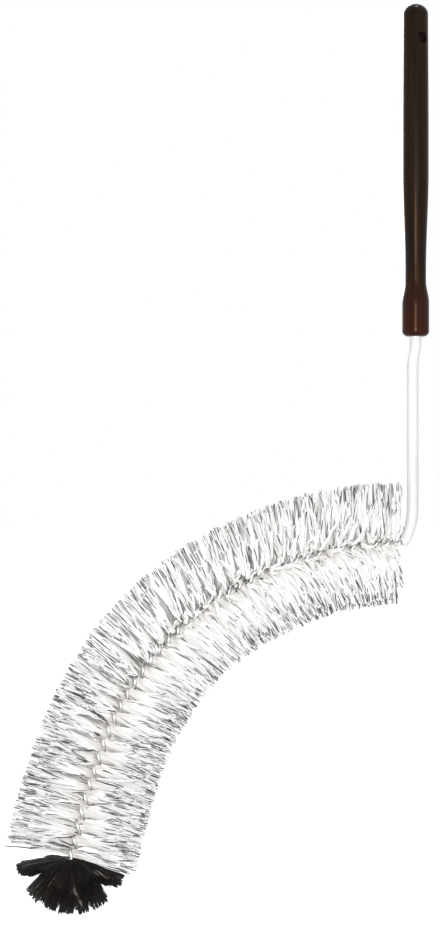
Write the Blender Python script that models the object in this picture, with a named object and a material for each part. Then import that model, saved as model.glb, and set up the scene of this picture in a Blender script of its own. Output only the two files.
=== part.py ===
"""A carboy brush: a turned handle on a twisted wire that a plastic sleeve covers and bristles fill.

The handle stands upright. Below it the sleeved stem runs down to an elbow, and from there the
bristled head arcs away to the left and down, to a fan of dark bristles in the wire's end loop.
Lengths are in metres and angles in radians. The origin is the middle of the hanging hole, +Z runs
up the handle, and the centreline of the bent wire lies in the XZ plane, with the head at -X.
"""

import math

import bmesh
import bpy
from mathutils import Matrix, Vector

# The space that pieces which touch keep between their surfaces
FIT_GAP = 0.0003
# How far a cutter runs past what it cuts
CUT_OVERRUN = 0.004
# Edges sharper than this stay sharp in the shading
SHARP_ANGLE = math.radians(40.0)

# Handle, turned in one piece, with its stations as shares of its length from the top
HANDLE_LENGTH = 0.261
HANDLE_DOME_HEIGHT = 0.0082
HANDLE_TOP_RADIUS = 0.0098
HANDLE_GRIP_RADIUS = 0.0102
HANDLE_NECK_RADIUS = 0.0082
HANDLE_COLLAR_RADIUS = 0.0106
HANDLE_COLLAR_FILLET = 0.0045
GRIP_START_SHARE = 0.38
GRIP_END_SHARE = 0.506
NECK_START_SHARE = 0.80
NECK_END_SHARE = 0.835
COLLAR_START_SHARE = 0.898
HANDLE_SIDES = 28
DOME_STEPS = 6
GRIP_STEPS = 3
TAPER_STEPS = 5
FLARE_STEPS = 5
FILLET_STEPS = 4

# Hanging hole, drilled across the handle and turned from the XZ plane's normal
HANG_HOLE_DEPTH = 0.0275
HANG_HOLE_RADIUS = 0.004
HANG_HOLE_CHAMFER = 0.0011
HANG_HOLE_TURN = math.radians(32.0)
HANG_HOLE_SIDES = 20

# Wire, one length doubled over at the tip and twisted
WIRE_RADIUS = 0.0015
WIRE_SOCKET_DEPTH = 0.060
WIRE_STEM_SPLIT = 0.0004
WIRE_STEM_PITCH = 0.036
WIRE_LOOP_LEG = 0.003
WIRE_POINTS_PER_TURN = 8
WIRE_LOOP_STEPS = 6

# Centreline of the twisted wire below the handle, as radii and turns of its bends
STEM_LEAD = 0.002
JOG_RADIUS = 0.055
JOG_TURN = math.radians(11.7)
STEM_STRAIGHT = 0.1092
LEAN_RADIUS = 0.0592
LEAN_TURN = math.radians(25.0)
ELBOW_RADIUS = 0.0063
ELBOW_TURN = math.radians(63.5)
HEAD_RISE_RADIUS = 0.2733
HEAD_RISE_TURN = math.radians(28.1)
HEAD_BEND_RADIUS = 0.2335
HEAD_BEND_TURN = math.radians(40.3)
HEAD_DROP_RADIUS = 0.6105
HEAD_DROP_TURN = math.radians(8.56)

# Sleeve, a plastic tube over the stem that ends inside the elbow
SLEEVE_RADIUS = 0.0045
SLEEVE_SOCKET_DEPTH = 0.014
SLEEVE_INTO_ELBOW = 0.0042
SLEEVE_STEP = 0.006
SLEEVE_ELBOW_STEP = 0.0012
SLEEVE_SIDES = 16

# Bristles of the head, caught between the wires in a band that turns with them
HEAD_TURNS = 19
HEAD_PITCH_GROWTH_SHARE = 0.34
HEAD_RADIUS_AT_STEM = 0.0490
HEAD_RADIUS_AT_TIP = 0.0540
BAND_THICKNESS = 0.0012
BAND_HALF_WIDTH = 0.0030
STRANDS_PER_SIDE = 10
STRAND_ROOT_SHARE = 0.6

# Free ends of the strands, oblong, with their length along the head and their width round it
STRAND_TIP_LENGTH = 0.0040
STRAND_TIP_WIDTH = 0.0060
STRAND_SPLAY = math.radians(0.7)
STRAND_SPLAY_SHARES = (0.0, 1.0, -0.6, 0.5, -1.0, 0.2, 0.8)
STRAND_TRIM_SHARES = (1.0, 0.985, 0.995, 0.98, 0.99)
STRAND_OVERHANG = 0.001

# Lean of the strands towards the stem, and droop of the sideways ones to the head's inner side
STRAND_LEAN = math.radians(8.0)
LEAN_RISE_SHARE = 0.12
LEAN_FADE_START_SHARE = 0.42
LEAN_FADE_END_SHARE = 0.70
STRAND_DROOP = math.radians(11.0)
DROOP_FADE_START_SHARE = 0.45
DROOP_FADE_END_SHARE = 0.75

# Parting of the sideways strands over the wire, which opens from the head's first quarter on
STRAND_PARTING = math.radians(26.0)
PARTING_START_SHARE = 0.25
PARTING_END_SHARE = 0.60

# Fan of dark bristles, a lump that fills the wire's end loop and sends strands all round the tip
FAN_HUB_HALF_WIDTH = 0.0130
FAN_HUB_HALF_DEPTH = 0.0060
FAN_HUB_HALF_HEIGHT = 0.0055
FAN_RADIUS = 0.0430
FAN_TURN = math.radians(7.5)
FAN_COLUMNS = 18
FAN_ROWS = 8
FAN_STRAND_TIP_WIDTH = 0.0055
FAN_TRIM_SHARES = (1.0, 0.94, 0.98, 0.91, 0.96)

# Sizes that follow from the ones above
WIRE_STEM_OFFSET = WIRE_RADIUS + WIRE_STEM_SPLIT / 2
WIRE_HEAD_OFFSET = BAND_THICKNESS / 2 + FIT_GAP + WIRE_RADIUS
WIRE_POINT_SWELL = (1 + 1 / math.cos(math.pi / WIRE_POINTS_PER_TURN)) / 2
WIRE_BORE_RADIUS = WIRE_STEM_OFFSET * WIRE_POINT_SWELL + WIRE_RADIUS + FIT_GAP
SLEEVE_SOCKET_RADIUS = SLEEVE_RADIUS + FIT_GAP
HANDLE_TOP = HANG_HOLE_DEPTH
HANDLE_BOTTOM = HANG_HOLE_DEPTH - HANDLE_LENGTH

# Stretches of the centreline from the wire's top end: length, and turn towards the head
STEM_STRETCHES = (
    (WIRE_SOCKET_DEPTH + STEM_LEAD, 0.0),
    (JOG_RADIUS * JOG_TURN, JOG_TURN),
    (JOG_RADIUS * JOG_TURN, -JOG_TURN),
    (STEM_STRAIGHT, 0.0),
    (LEAN_RADIUS * LEAN_TURN, LEAN_TURN),
)
ELBOW_LENGTH = ELBOW_RADIUS * ELBOW_TURN
HEAD_STRETCHES = (
    (HEAD_RISE_RADIUS * HEAD_RISE_TURN, -HEAD_RISE_TURN),
    (HEAD_BEND_RADIUS * HEAD_BEND_TURN, -HEAD_BEND_TURN),
    (HEAD_DROP_RADIUS * HEAD_DROP_TURN, -HEAD_DROP_TURN),
)
STRETCHES = (*STEM_STRETCHES, (ELBOW_LENGTH, ELBOW_TURN), *HEAD_STRETCHES)
ELBOW_START = sum(length for length, _ in STEM_STRETCHES)
HEAD_START = ELBOW_START + ELBOW_LENGTH
HEAD_LENGTH = sum(length for length, _ in HEAD_STRETCHES)
HEAD_END = HEAD_START + HEAD_LENGTH


def heading_axes(heading):
    """Direction of travel and outer normal for a heading, which is zero straight down."""
    along = Vector((-math.sin(heading), 0.0, -math.cos(heading)))
    outward = Vector((-math.cos(heading), 0.0, math.sin(heading)))
    return along, outward


def on_centreline(distance):
    """Point, direction and outer normal at a distance from the wire's top end."""
    point = Vector((0.0, 0.0, HANDLE_BOTTOM + WIRE_SOCKET_DEPTH))
    heading = 0.0
    for length, turn in STRETCHES:
        part = min(distance, length)
        along, outward = heading_axes(heading)
        angle = turn * part / length
        if turn:
            radius = length / turn
            point = point + along * radius * math.sin(angle)
            point = point + outward * radius * (1 - math.cos(angle))
        else:
            point = point + along * part
        heading += angle
        distance -= part
        if distance <= 0:
            break
    along, outward = heading_axes(heading)
    return point + along * max(distance, 0.0), along, outward


def head_turns_to(distance):
    """Turns of the twist from the head's start to a distance along the head."""
    share = distance / HEAD_LENGTH
    growth = HEAD_PITCH_GROWTH_SHARE
    return HEAD_TURNS * math.log(1 + growth * share) / math.log(1 + growth)


def head_distance_at(turns):
    """Distance along the head at which the twist has made so many turns."""
    growth = HEAD_PITCH_GROWTH_SHARE
    return HEAD_LENGTH * ((1 + growth) ** (turns / HEAD_TURNS) - 1) / growth


def twist_at(distance):
    """Angle of the first leg round the centreline, from the outer normal towards +Y."""
    quarter = math.pi / 2
    if distance >= HEAD_END:
        return quarter
    if distance >= HEAD_START:
        return quarter + 2 * math.pi * (HEAD_TURNS - head_turns_to(distance - HEAD_START))
    return quarter + 2 * math.pi * (HEAD_TURNS + (HEAD_START - distance) / WIRE_STEM_PITCH)


def twist_axes(distance):
    """Point, direction, way to the first leg and way of the bristle band at a distance."""
    point, along, outward = on_centreline(distance)
    side = along.cross(outward)
    angle = twist_at(distance)
    to_leg = outward * math.cos(angle) + side * math.sin(angle)
    to_bristle = side * math.cos(angle) - outward * math.sin(angle)
    return point, along, to_leg, to_bristle


def eased(share):
    """A share from 0 to 1 that leaves and arrives gently."""
    share = min(max(share, 0.0), 1.0)
    return share * share * (3 - 2 * share)


def eased_between(share, start, end):
    """How far a share has come on its gentle way from one share to another."""
    return eased((share - start) / (end - start))


def leg_offset(distance):
    """How far each leg of the wire lies from the centreline."""
    sleeve_end = ELBOW_START + SLEEVE_INTO_ELBOW
    opening = eased((distance - sleeve_end) / (HEAD_START - sleeve_end))
    return WIRE_STEM_OFFSET + (WIRE_HEAD_OFFSET - WIRE_STEM_OFFSET) * opening


def wire_distances():
    """Distances of the wire's points from its top end to the start of its end loop."""
    stem_count = math.ceil(ELBOW_START * WIRE_POINTS_PER_TURN / WIRE_STEM_PITCH)
    elbow_count = WIRE_POINTS_PER_TURN // 2
    stem = [ELBOW_START * i / stem_count for i in range(stem_count)]
    elbow = [ELBOW_START + ELBOW_LENGTH * i / elbow_count for i in range(elbow_count)]
    head_count = HEAD_TURNS * WIRE_POINTS_PER_TURN
    head = [
        HEAD_START + head_distance_at(i / WIRE_POINTS_PER_TURN) for i in range(head_count + 1)
    ]
    return stem + elbow + head


def end_loop_points(reach):
    """Points of the wire's end loop, whose legs start so far before the head's end."""
    point, along, outward = on_centreline(HEAD_END)
    side = along.cross(outward)
    radius = WIRE_HEAD_OFFSET
    start = [point + side * radius - along * reach]
    centre = point + along * WIRE_LOOP_LEG
    bend = []
    for i in range(WIRE_LOOP_STEPS + 1):
        angle = math.pi * i / WIRE_LOOP_STEPS
        bend.append(centre + side * radius * math.cos(angle) + along * radius * math.sin(angle))
    end = [point - side * radius - along * reach]
    return start + bend + end


def material(name, colour, roughness, metallic=0.0):
    """A Principled material."""
    made = bpy.data.materials.new(name)
    made.use_nodes = True
    shader = made.node_tree.nodes["Principled BSDF"]
    shader.inputs["Base Color"].default_value = (*colour, 1.0)
    shader.inputs["Roughness"].default_value = roughness
    shader.inputs["Metallic"].default_value = metallic
    made.diffuse_color = (*colour, 1.0)
    return made


def add_object(name, data, finish):
    """An object in the scene with its own material."""
    made = bpy.data.objects.new(name, data)
    bpy.context.scene.collection.objects.link(made)
    if finish is not None:
        data.materials.append(finish)
    return made


def face_outwards(bm):
    """Turns all the faces of a closed bmesh outwards."""
    bmesh.ops.recalc_face_normals(bm, faces=bm.faces)
    if bm.calc_volume(signed=True) < 0:
        bmesh.ops.reverse_faces(bm, faces=bm.faces)


def mesh_object(name, bm, finish):
    """An object from a bmesh, shaded smooth except across sharp edges."""
    face_outwards(bm)
    mesh = bpy.data.meshes.new(name)
    bm.to_mesh(mesh)
    bm.free()
    mesh.shade_smooth()
    mesh.set_sharp_from_angle(angle=SHARP_ANGLE)
    return add_object(name, mesh, finish)


def cutter_object(name, bm):
    """A hidden object that a Boolean takes away."""
    made = mesh_object(name, bm, None)
    made.hide_render = True
    made.display_type = "WIRE"
    return made


def cut(target, cutter):
    """Takes a cutter away from an object."""
    boolean = target.modifiers.new(cutter.name, "BOOLEAN")
    boolean.operation = "DIFFERENCE"
    boolean.solver = "EXACT"
    boolean.object = cutter


def ring(bm, centre, across, upward, radius, sides):
    """A ring of vertices in the plane of two unit vectors."""
    made = []
    for i in range(sides):
        angle = 2 * math.pi * i / sides
        place = centre + across * radius * math.cos(angle) + upward * radius * math.sin(angle)
        made.append(bm.verts.new(place))
    return made


def bridge(bm, first, second):
    """Quads between two rings of the same count."""
    count = len(first)
    for i in range(count):
        j = (i + 1) % count
        bm.faces.new((first[i], first[j], second[j], second[i]))


def fan(bm, tip, rim):
    """Triangles from a point to a ring."""
    count = len(rim)
    for i in range(count):
        bm.faces.new((tip, rim[i], rim[(i + 1) % count]))


def turned(profile, sides):
    """A bmesh turned round Z from (radius, height) points that start and end on the axis."""
    bm = bmesh.new()
    across = Vector((1.0, 0.0, 0.0))
    upward = Vector((0.0, 1.0, 0.0))
    rings = [
        ring(bm, Vector((0.0, 0.0, height)), across, upward, radius, sides)
        for radius, height in profile[1:-1]
    ]
    for first, second in zip(rings, rings[1:]):
        bridge(bm, first, second)
    fan(bm, bm.verts.new((0.0, 0.0, profile[0][1])), rings[0])
    fan(bm, bm.verts.new((0.0, 0.0, profile[-1][1])), rings[-1])
    return bm


def swept(points, radius, sides):
    """A bmesh tube with closed ends through points that lie in one plane."""
    bm = bmesh.new()
    normal = (points[1] - points[0]).cross(points[len(points) // 2] - points[0]).normalized()
    rings = []
    for i, point in enumerate(points):
        before = points[max(i - 1, 0)]
        after = points[min(i + 1, len(points) - 1)]
        along = (after - before).normalized()
        rings.append(ring(bm, point, normal, along.cross(normal), radius, sides))
    for first, second in zip(rings, rings[1:]):
        bridge(bm, first, second)
    bm.faces.new(rings[0])
    bm.faces.new(rings[-1])
    return bm


def between(start, end, steps):
    """Evenly spaced values after a start, up to and with an end."""
    return [start + (end - start) * i / steps for i in range(1, steps + 1)]


def handle_radius(share):
    """Radius of the handle's body at a share of its length from the top."""
    stations = (
        (0.0, HANDLE_TOP_RADIUS),
        (GRIP_START_SHARE, HANDLE_GRIP_RADIUS),
        (GRIP_END_SHARE, HANDLE_GRIP_RADIUS),
        (NECK_START_SHARE, HANDLE_NECK_RADIUS),
        (NECK_END_SHARE, HANDLE_NECK_RADIUS),
        (COLLAR_START_SHARE, HANDLE_COLLAR_RADIUS),
        (1.0, HANDLE_COLLAR_RADIUS),
    )
    for (low, low_radius), (high, high_radius) in zip(stations, stations[1:]):
        if share <= high:
            step = eased((share - low) / (high - low))
            return low_radius + (high_radius - low_radius) * step
    return HANDLE_COLLAR_RADIUS


def handle_profile():
    """Outline of the handle, from the dome's top round the outside and up the bores."""
    dome_share = HANDLE_DOME_HEIGHT / HANDLE_LENGTH
    shares = [dome_share]
    shares += between(dome_share, GRIP_START_SHARE, GRIP_STEPS)
    shares += [GRIP_END_SHARE]
    shares += between(GRIP_END_SHARE, NECK_START_SHARE, TAPER_STEPS)
    shares += [NECK_END_SHARE]
    shares += between(NECK_END_SHARE, COLLAR_START_SHARE, FLARE_STEPS)
    dome_radius = handle_radius(dome_share)
    profile = [(0.0, HANDLE_TOP)]
    for angle in between(0.0, math.pi / 2, DOME_STEPS)[:-1]:
        drop = HANDLE_DOME_HEIGHT * (1 - math.cos(angle))
        profile.append((dome_radius * math.sin(angle), HANDLE_TOP - drop))
    for share in shares:
        profile.append((handle_radius(share), HANDLE_TOP - HANDLE_LENGTH * share))
    fillet_centre = HANDLE_COLLAR_RADIUS - HANDLE_COLLAR_FILLET
    for angle in [0.0] + between(0.0, math.pi / 2, FILLET_STEPS):
        radius = fillet_centre + HANDLE_COLLAR_FILLET * math.cos(angle)
        drop = HANDLE_COLLAR_FILLET * (1 - math.sin(angle))
        profile.append((radius, HANDLE_BOTTOM + drop))
    socket_top = HANDLE_BOTTOM + SLEEVE_SOCKET_DEPTH + FIT_GAP
    bore_top = HANDLE_BOTTOM + WIRE_SOCKET_DEPTH + WIRE_RADIUS
    profile.append((SLEEVE_SOCKET_RADIUS, HANDLE_BOTTOM))
    profile.append((SLEEVE_SOCKET_RADIUS, socket_top))
    profile.append((WIRE_BORE_RADIUS, socket_top))
    profile.append((WIRE_BORE_RADIUS, bore_top))
    profile.append((0.0, bore_top))
    return profile


def hang_hole_cutter():
    """A drill for the hanging hole that widens where it leaves the handle."""
    seat = handle_radius(HANG_HOLE_DEPTH / HANDLE_LENGTH) - HANG_HOLE_CHAMFER
    reach = seat + HANG_HOLE_CHAMFER + CUT_OVERRUN
    wide = HANG_HOLE_RADIUS + reach - seat
    profile = (
        (0.0, -reach),
        (wide, -reach),
        (HANG_HOLE_RADIUS, -seat),
        (HANG_HOLE_RADIUS, seat),
        (wide, reach),
        (0.0, reach),
    )
    bm = turned(profile, HANG_HOLE_SIDES)
    lay_down = Matrix.Rotation(math.pi / 2, 4, "X")
    turn = Matrix.Rotation(HANG_HOLE_TURN, 4, "Z")
    bmesh.ops.transform(bm, matrix=turn @ lay_down, verts=bm.verts)
    return cutter_object("hang_hole_cutter", bm)


def build_handle():
    """The turned handle with its hanging hole and the two bores that take the stem."""
    finish = material("dark_gloss_handle", (0.022, 0.013, 0.010), 0.18)
    handle = mesh_object("handle", turned(handle_profile(), HANDLE_SIDES), finish)
    cut(handle, hang_hole_cutter())


def sleeve_distances():
    """Distances of the sleeve's rings, closer together round the elbow."""
    start = WIRE_SOCKET_DEPTH - SLEEVE_SOCKET_DEPTH
    straight_count = math.ceil((ELBOW_START - start) / SLEEVE_STEP)
    elbow_count = math.ceil(SLEEVE_INTO_ELBOW / SLEEVE_ELBOW_STEP)
    stem = [start] + between(start, ELBOW_START, straight_count)
    return stem + between(ELBOW_START, ELBOW_START + SLEEVE_INTO_ELBOW, elbow_count)


def build_sleeve():
    """The plastic tube round the stem."""
    bm = bmesh.new()
    outer = []
    inner = []
    for distance in sleeve_distances():
        point, along, outward = on_centreline(distance)
        side = along.cross(outward)
        outer.append(ring(bm, point, outward, side, SLEEVE_RADIUS, SLEEVE_SIDES))
        inner.append(ring(bm, point, outward, side, WIRE_BORE_RADIUS, SLEEVE_SIDES))
    for first, second in zip(outer, outer[1:]):
        bridge(bm, first, second)
    for first, second in zip(inner, inner[1:]):
        bridge(bm, second, first)
    bridge(bm, inner[0], outer[0])
    bridge(bm, outer[-1], inner[-1])
    finish = material("white_sleeve", (0.82, 0.82, 0.80), 0.28)
    mesh_object("stem_sleeve", bm, finish)


def build_wire():
    """The one length of wire: down one leg, round the end loop and back up the other leg."""
    first_leg = []
    second_leg = []
    for distance in wire_distances():
        point, _, to_leg, _ = twist_axes(distance)
        reach = leg_offset(distance) * WIRE_POINT_SWELL
        first_leg.append(point + to_leg * reach)
        second_leg.append(point - to_leg * reach)
    points = first_leg + end_loop_points(0.0)[1:-1] + second_leg[::-1]
    curve = bpy.data.curves.new("core_wire", "CURVE")
    curve.dimensions = "3D"
    curve.bevel_depth = WIRE_RADIUS
    curve.bevel_resolution = 1
    curve.use_fill_caps = True
    spline = curve.splines.new("POLY")
    spline.points.add(len(points) - 1)
    for place, point in zip(spline.points, points):
        place.co = (*point, 1.0)
        place.radius = 1.0
    spline.use_smooth = True
    add_object("core_wire", curve, material("galvanised_wire", (0.62, 0.63, 0.64), 0.32, 1.0))


def band_ring(bm, distance):
    """Six vertices across the bristle band: one face's three, then the other's."""
    point, _, to_leg, to_bristle = twist_axes(HEAD_START + distance)
    made = []
    for face in (1, -1):
        for place in (-1, 0, 1):
            across = to_bristle * BAND_HALF_WIDTH * place
            made.append(bm.verts.new(point + across + to_leg * BAND_THICKNESS / 2 * face))
    return made


def head_radius(distance):
    """Length of the head's bristles from the centreline."""
    share = distance / HEAD_LENGTH
    return HEAD_RADIUS_AT_STEM + (HEAD_RADIUS_AT_TIP - HEAD_RADIUS_AT_STEM) * share


def parted(straight, outward, side, share):
    """The way out of a strand after the parting, which turns it towards the plane of the bend."""
    rise = straight.dot(outward)
    drift = straight.dot(side)
    gap = STRAND_PARTING * eased_between(share, PARTING_START_SHARE, PARTING_END_SHARE)
    angle = math.atan2(abs(rise), abs(drift))
    angle = gap + angle * (1 - gap / (math.pi / 2))
    to_rim = outward * math.copysign(math.sin(angle), rise)
    return to_rim + side * math.copysign(math.cos(angle), drift)


def strand_end(distance, straight, count):
    """Middle of the end of a strand, from where it leaves the wire and the way straight out."""
    point, along, outward = on_centreline(HEAD_START + distance)
    share = distance / HEAD_LENGTH
    radial = parted(straight, outward, along.cross(outward), share)
    reach = head_radius(distance) * STRAND_TRIM_SHARES[count % len(STRAND_TRIM_SHARES)]
    lean = STRAND_LEAN * eased_between(share, 0.0, LEAN_RISE_SHARE)
    lean *= 1 - eased_between(share, LEAN_FADE_START_SHARE, LEAN_FADE_END_SHARE)
    lean += STRAND_SPLAY * STRAND_SPLAY_SHARES[count % len(STRAND_SPLAY_SHARES)]
    droop = STRAND_DROOP * (1 - radial.dot(outward) ** 2)
    droop *= 1 - eased_between(share, DROOP_FADE_START_SHARE, DROOP_FADE_END_SHARE)
    since_start = distance + STRAND_OVERHANG
    to_end = HEAD_LENGTH - distance + STRAND_OVERHANG
    back = min(max(math.tan(lean) * reach, -to_end), since_start)
    way = radial * reach - along * back - outward * math.tan(droop) * reach
    return point + way.normalized() * reach


def draw_strand(face, low, high, way, count):
    """Moves a face extruded from the band's edge out to a strand's end, where it is oblong."""
    distance = (low + high) / 2
    _, along, to_leg, to_bristle = twist_axes(HEAD_START + distance)
    middle = face.calc_center_median()
    end = strand_end(distance, to_bristle * way, count)
    for vert in face.verts:
        forward = math.copysign(STRAND_TIP_LENGTH / 2, (vert.co - middle).dot(along))
        root, _, root_leg, _ = twist_axes(HEAD_START + (high if forward > 0 else low))
        sideways = math.copysign(STRAND_TIP_WIDTH / 2, (vert.co - root).dot(root_leg))
        vert.co = end + along * forward + to_leg * sideways


def build_bristle_turn(index, finish):
    """The bristles of one turn of the twist, on their slice of the band between the wires."""
    start = head_distance_at(index) + FIT_GAP / 2
    end = head_distance_at(index + 1) - FIT_GAP / 2
    step = (end - start) / STRANDS_PER_SIDE
    rest = step * (1 - STRAND_ROOT_SHARE) / 2
    roots = [(start + step * i + rest, start + step * (i + 1) - rest) for i in range(STRANDS_PER_SIDE)]
    distances = [start, *(distance for root in roots for distance in root), end]
    bm = bmesh.new()
    rings = [band_ring(bm, distance) for distance in distances]
    sides = []
    for i, (first, second) in enumerate(zip(rings, rings[1:])):
        for low, high in ((0, 1), (1, 2), (4, 3), (5, 4)):
            bm.faces.new((first[low], first[high], second[high], second[low]))
        for way, low, high in ((-1, 3, 0), (1, 2, 5)):
            face = bm.faces.new((first[low], first[high], second[high], second[low]))
            if i % 2:
                sides.append((roots[i // 2], way, face))
    for end_ring in (rings[0], rings[-1]):
        for low, high in ((0, 1), (1, 2)):
            bm.faces.new((end_ring[low], end_ring[high], end_ring[high + 3], end_ring[low + 3]))
    face_outwards(bm)
    ends = bmesh.ops.extrude_discrete_faces(bm, faces=[face for _, _, face in sides])["faces"]
    for count, (face, ((low, high), way, _)) in enumerate(zip(ends, sides)):
        draw_strand(face, low, high, way, count + index)
    mesh_object(f"bristle_turn_{index + 1:02d}", bm, finish)


def build_head():
    """All the turns of white bristles."""
    for index in range(HEAD_TURNS):
        finish = material(f"white_bristle_{index + 1:02d}", (0.80, 0.79, 0.76), 0.45)
        build_bristle_turn(index, finish)


def fan_frame():
    """The middle of the fan's hub and its axes: to the outer side, towards +Y and along the wire."""
    point, along, outward = on_centreline(HEAD_END)
    centre = point + along * (FAN_HUB_HALF_HEIGHT + FIT_GAP)
    return centre, outward, along.cross(outward), along


def build_fan():
    """The fan of dark bristles that the wire's end loop holds."""
    centre, outward, side, along = fan_frame()
    angles = [0.0] + between(0.0, math.pi, FAN_ROWS)
    bm = turned([(math.sin(angle), math.cos(angle)) for angle in angles], FAN_COLUMNS)
    axes = Matrix((outward, along, side)).transposed()
    turned_axes = axes @ Matrix.Rotation(FAN_TURN, 3, "Z")
    directions = {}
    for face in bm.faces:
        middle = face.calc_center_median().normalized()
        if len(face.verts) == 4 and middle.y > 0:
            directions[face] = turned_axes @ middle
    sizes = (FAN_HUB_HALF_WIDTH, FAN_HUB_HALF_HEIGHT, FAN_HUB_HALF_DEPTH)
    for vert in bm.verts:
        stretched = Vector(size * share for size, share in zip(sizes, vert.co))
        vert.co = centre + axes @ stretched
    face_outwards(bm)
    ways = list(directions.values())
    ends = bmesh.ops.extrude_discrete_faces(bm, faces=list(directions))["faces"]
    for count, (face, way) in enumerate(zip(ends, ways)):
        middle = face.calc_center_median()
        trim = FAN_TRIM_SHARES[count % len(FAN_TRIM_SHARES)]
        end = centre + way * FAN_RADIUS * trim
        widest = max((vert.co - middle).length for vert in face.verts)
        scale = FAN_STRAND_TIP_WIDTH / math.sqrt(2) / widest
        for vert in face.verts:
            offset = (vert.co - middle) * scale
            vert.co = end + offset - way * offset.dot(way)
    finish = material("black_bristle", (0.018, 0.016, 0.014), 0.5)
    tuft = mesh_object("tip_fan", bm, finish)
    loop = swept(end_loop_points(CUT_OVERRUN), WIRE_RADIUS + FIT_GAP, WIRE_POINTS_PER_TURN)
    cut(tuft, cutter_object("end_loop_cutter", loop))


def main():
    """Builds the brush in an empty scene."""
    for found in list(bpy.data.objects):
        bpy.data.objects.remove(found, do_unlink=True)
    build_handle()
    build_sleeve()
    build_wire()
    build_head()
    build_fan()


main()
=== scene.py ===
"""Looks of a carboy brush: lacquered handle, sleeved stem, twisted wire, nylon head and black tip.

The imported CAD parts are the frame. Each of them is replaced here by a finer piece in its place: a
smooth turned handle with wood grain, a moulded sleeve, one length of wire with its whole twist,
thousands of separate nylon strands for the head, and a coarse dark tuft at the tip. Lengths are in
metres. +Z runs up the handle, the bend of the wire lies in the XZ plane with the head at -X, and the
camera looks along +Y.
"""

from __future__ import annotations

import logging
import math
from collections.abc import Sequence
from dataclasses import dataclass, replace
from enum import Enum

import bmesh
import bpy
import numpy as np
from mathutils import Matrix, Vector

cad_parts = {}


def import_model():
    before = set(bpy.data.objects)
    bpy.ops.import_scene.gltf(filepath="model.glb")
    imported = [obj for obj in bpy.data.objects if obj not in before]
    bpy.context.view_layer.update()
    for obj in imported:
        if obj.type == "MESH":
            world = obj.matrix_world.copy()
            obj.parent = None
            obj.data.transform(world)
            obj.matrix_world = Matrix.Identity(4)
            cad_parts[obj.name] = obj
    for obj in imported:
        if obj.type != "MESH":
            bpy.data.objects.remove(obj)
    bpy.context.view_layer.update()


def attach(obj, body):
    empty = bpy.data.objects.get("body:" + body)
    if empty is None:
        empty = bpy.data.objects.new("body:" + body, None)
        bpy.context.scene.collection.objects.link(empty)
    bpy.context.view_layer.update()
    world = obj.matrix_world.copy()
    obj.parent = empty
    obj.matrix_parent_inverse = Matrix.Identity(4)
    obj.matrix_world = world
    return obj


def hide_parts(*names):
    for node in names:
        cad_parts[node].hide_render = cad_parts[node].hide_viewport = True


log = logging.getLogger("carboy_brush")

Colour = tuple[float, float, float]
Place = tuple[float, float, float]
Pair = tuple[float, float]
Stops = tuple[tuple[float, Colour], ...]

WHITE: Colour = (1.0, 1.0, 1.0)
QUARTER_TURN = math.pi / 2
FULL_TURN = 2 * math.pi


class Slot(Enum):
    """Material slots of the record, which no piece here takes its finish from."""

    HANDLE = "handle"
    SLEEVE = "stem_sleeve"
    WIRE = "core_wire"
    WHITE = "white_bristle"
    BLACK = "black_bristle"


class BandSide(Enum):
    """The two edges of the bristle band, as signs of the way out of it."""

    FIRST = 1
    SECOND = -1


class Blend(Enum):
    """Ways to join two colours."""

    MIX = "MIX"
    MULTIPLY = "MULTIPLY"


# Finishes


@dataclass(frozen=True)
class Clouds:
    """Cloudy noise: its features per metre along X, Y and Z, and how much fine noise it has."""

    scale: Place
    detail: float


@dataclass(frozen=True)
class Relief:
    """Fine relief: its noise, the share of it that shows and its depth in metres."""

    clouds: Clouds
    strength: float
    depth: float


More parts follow.
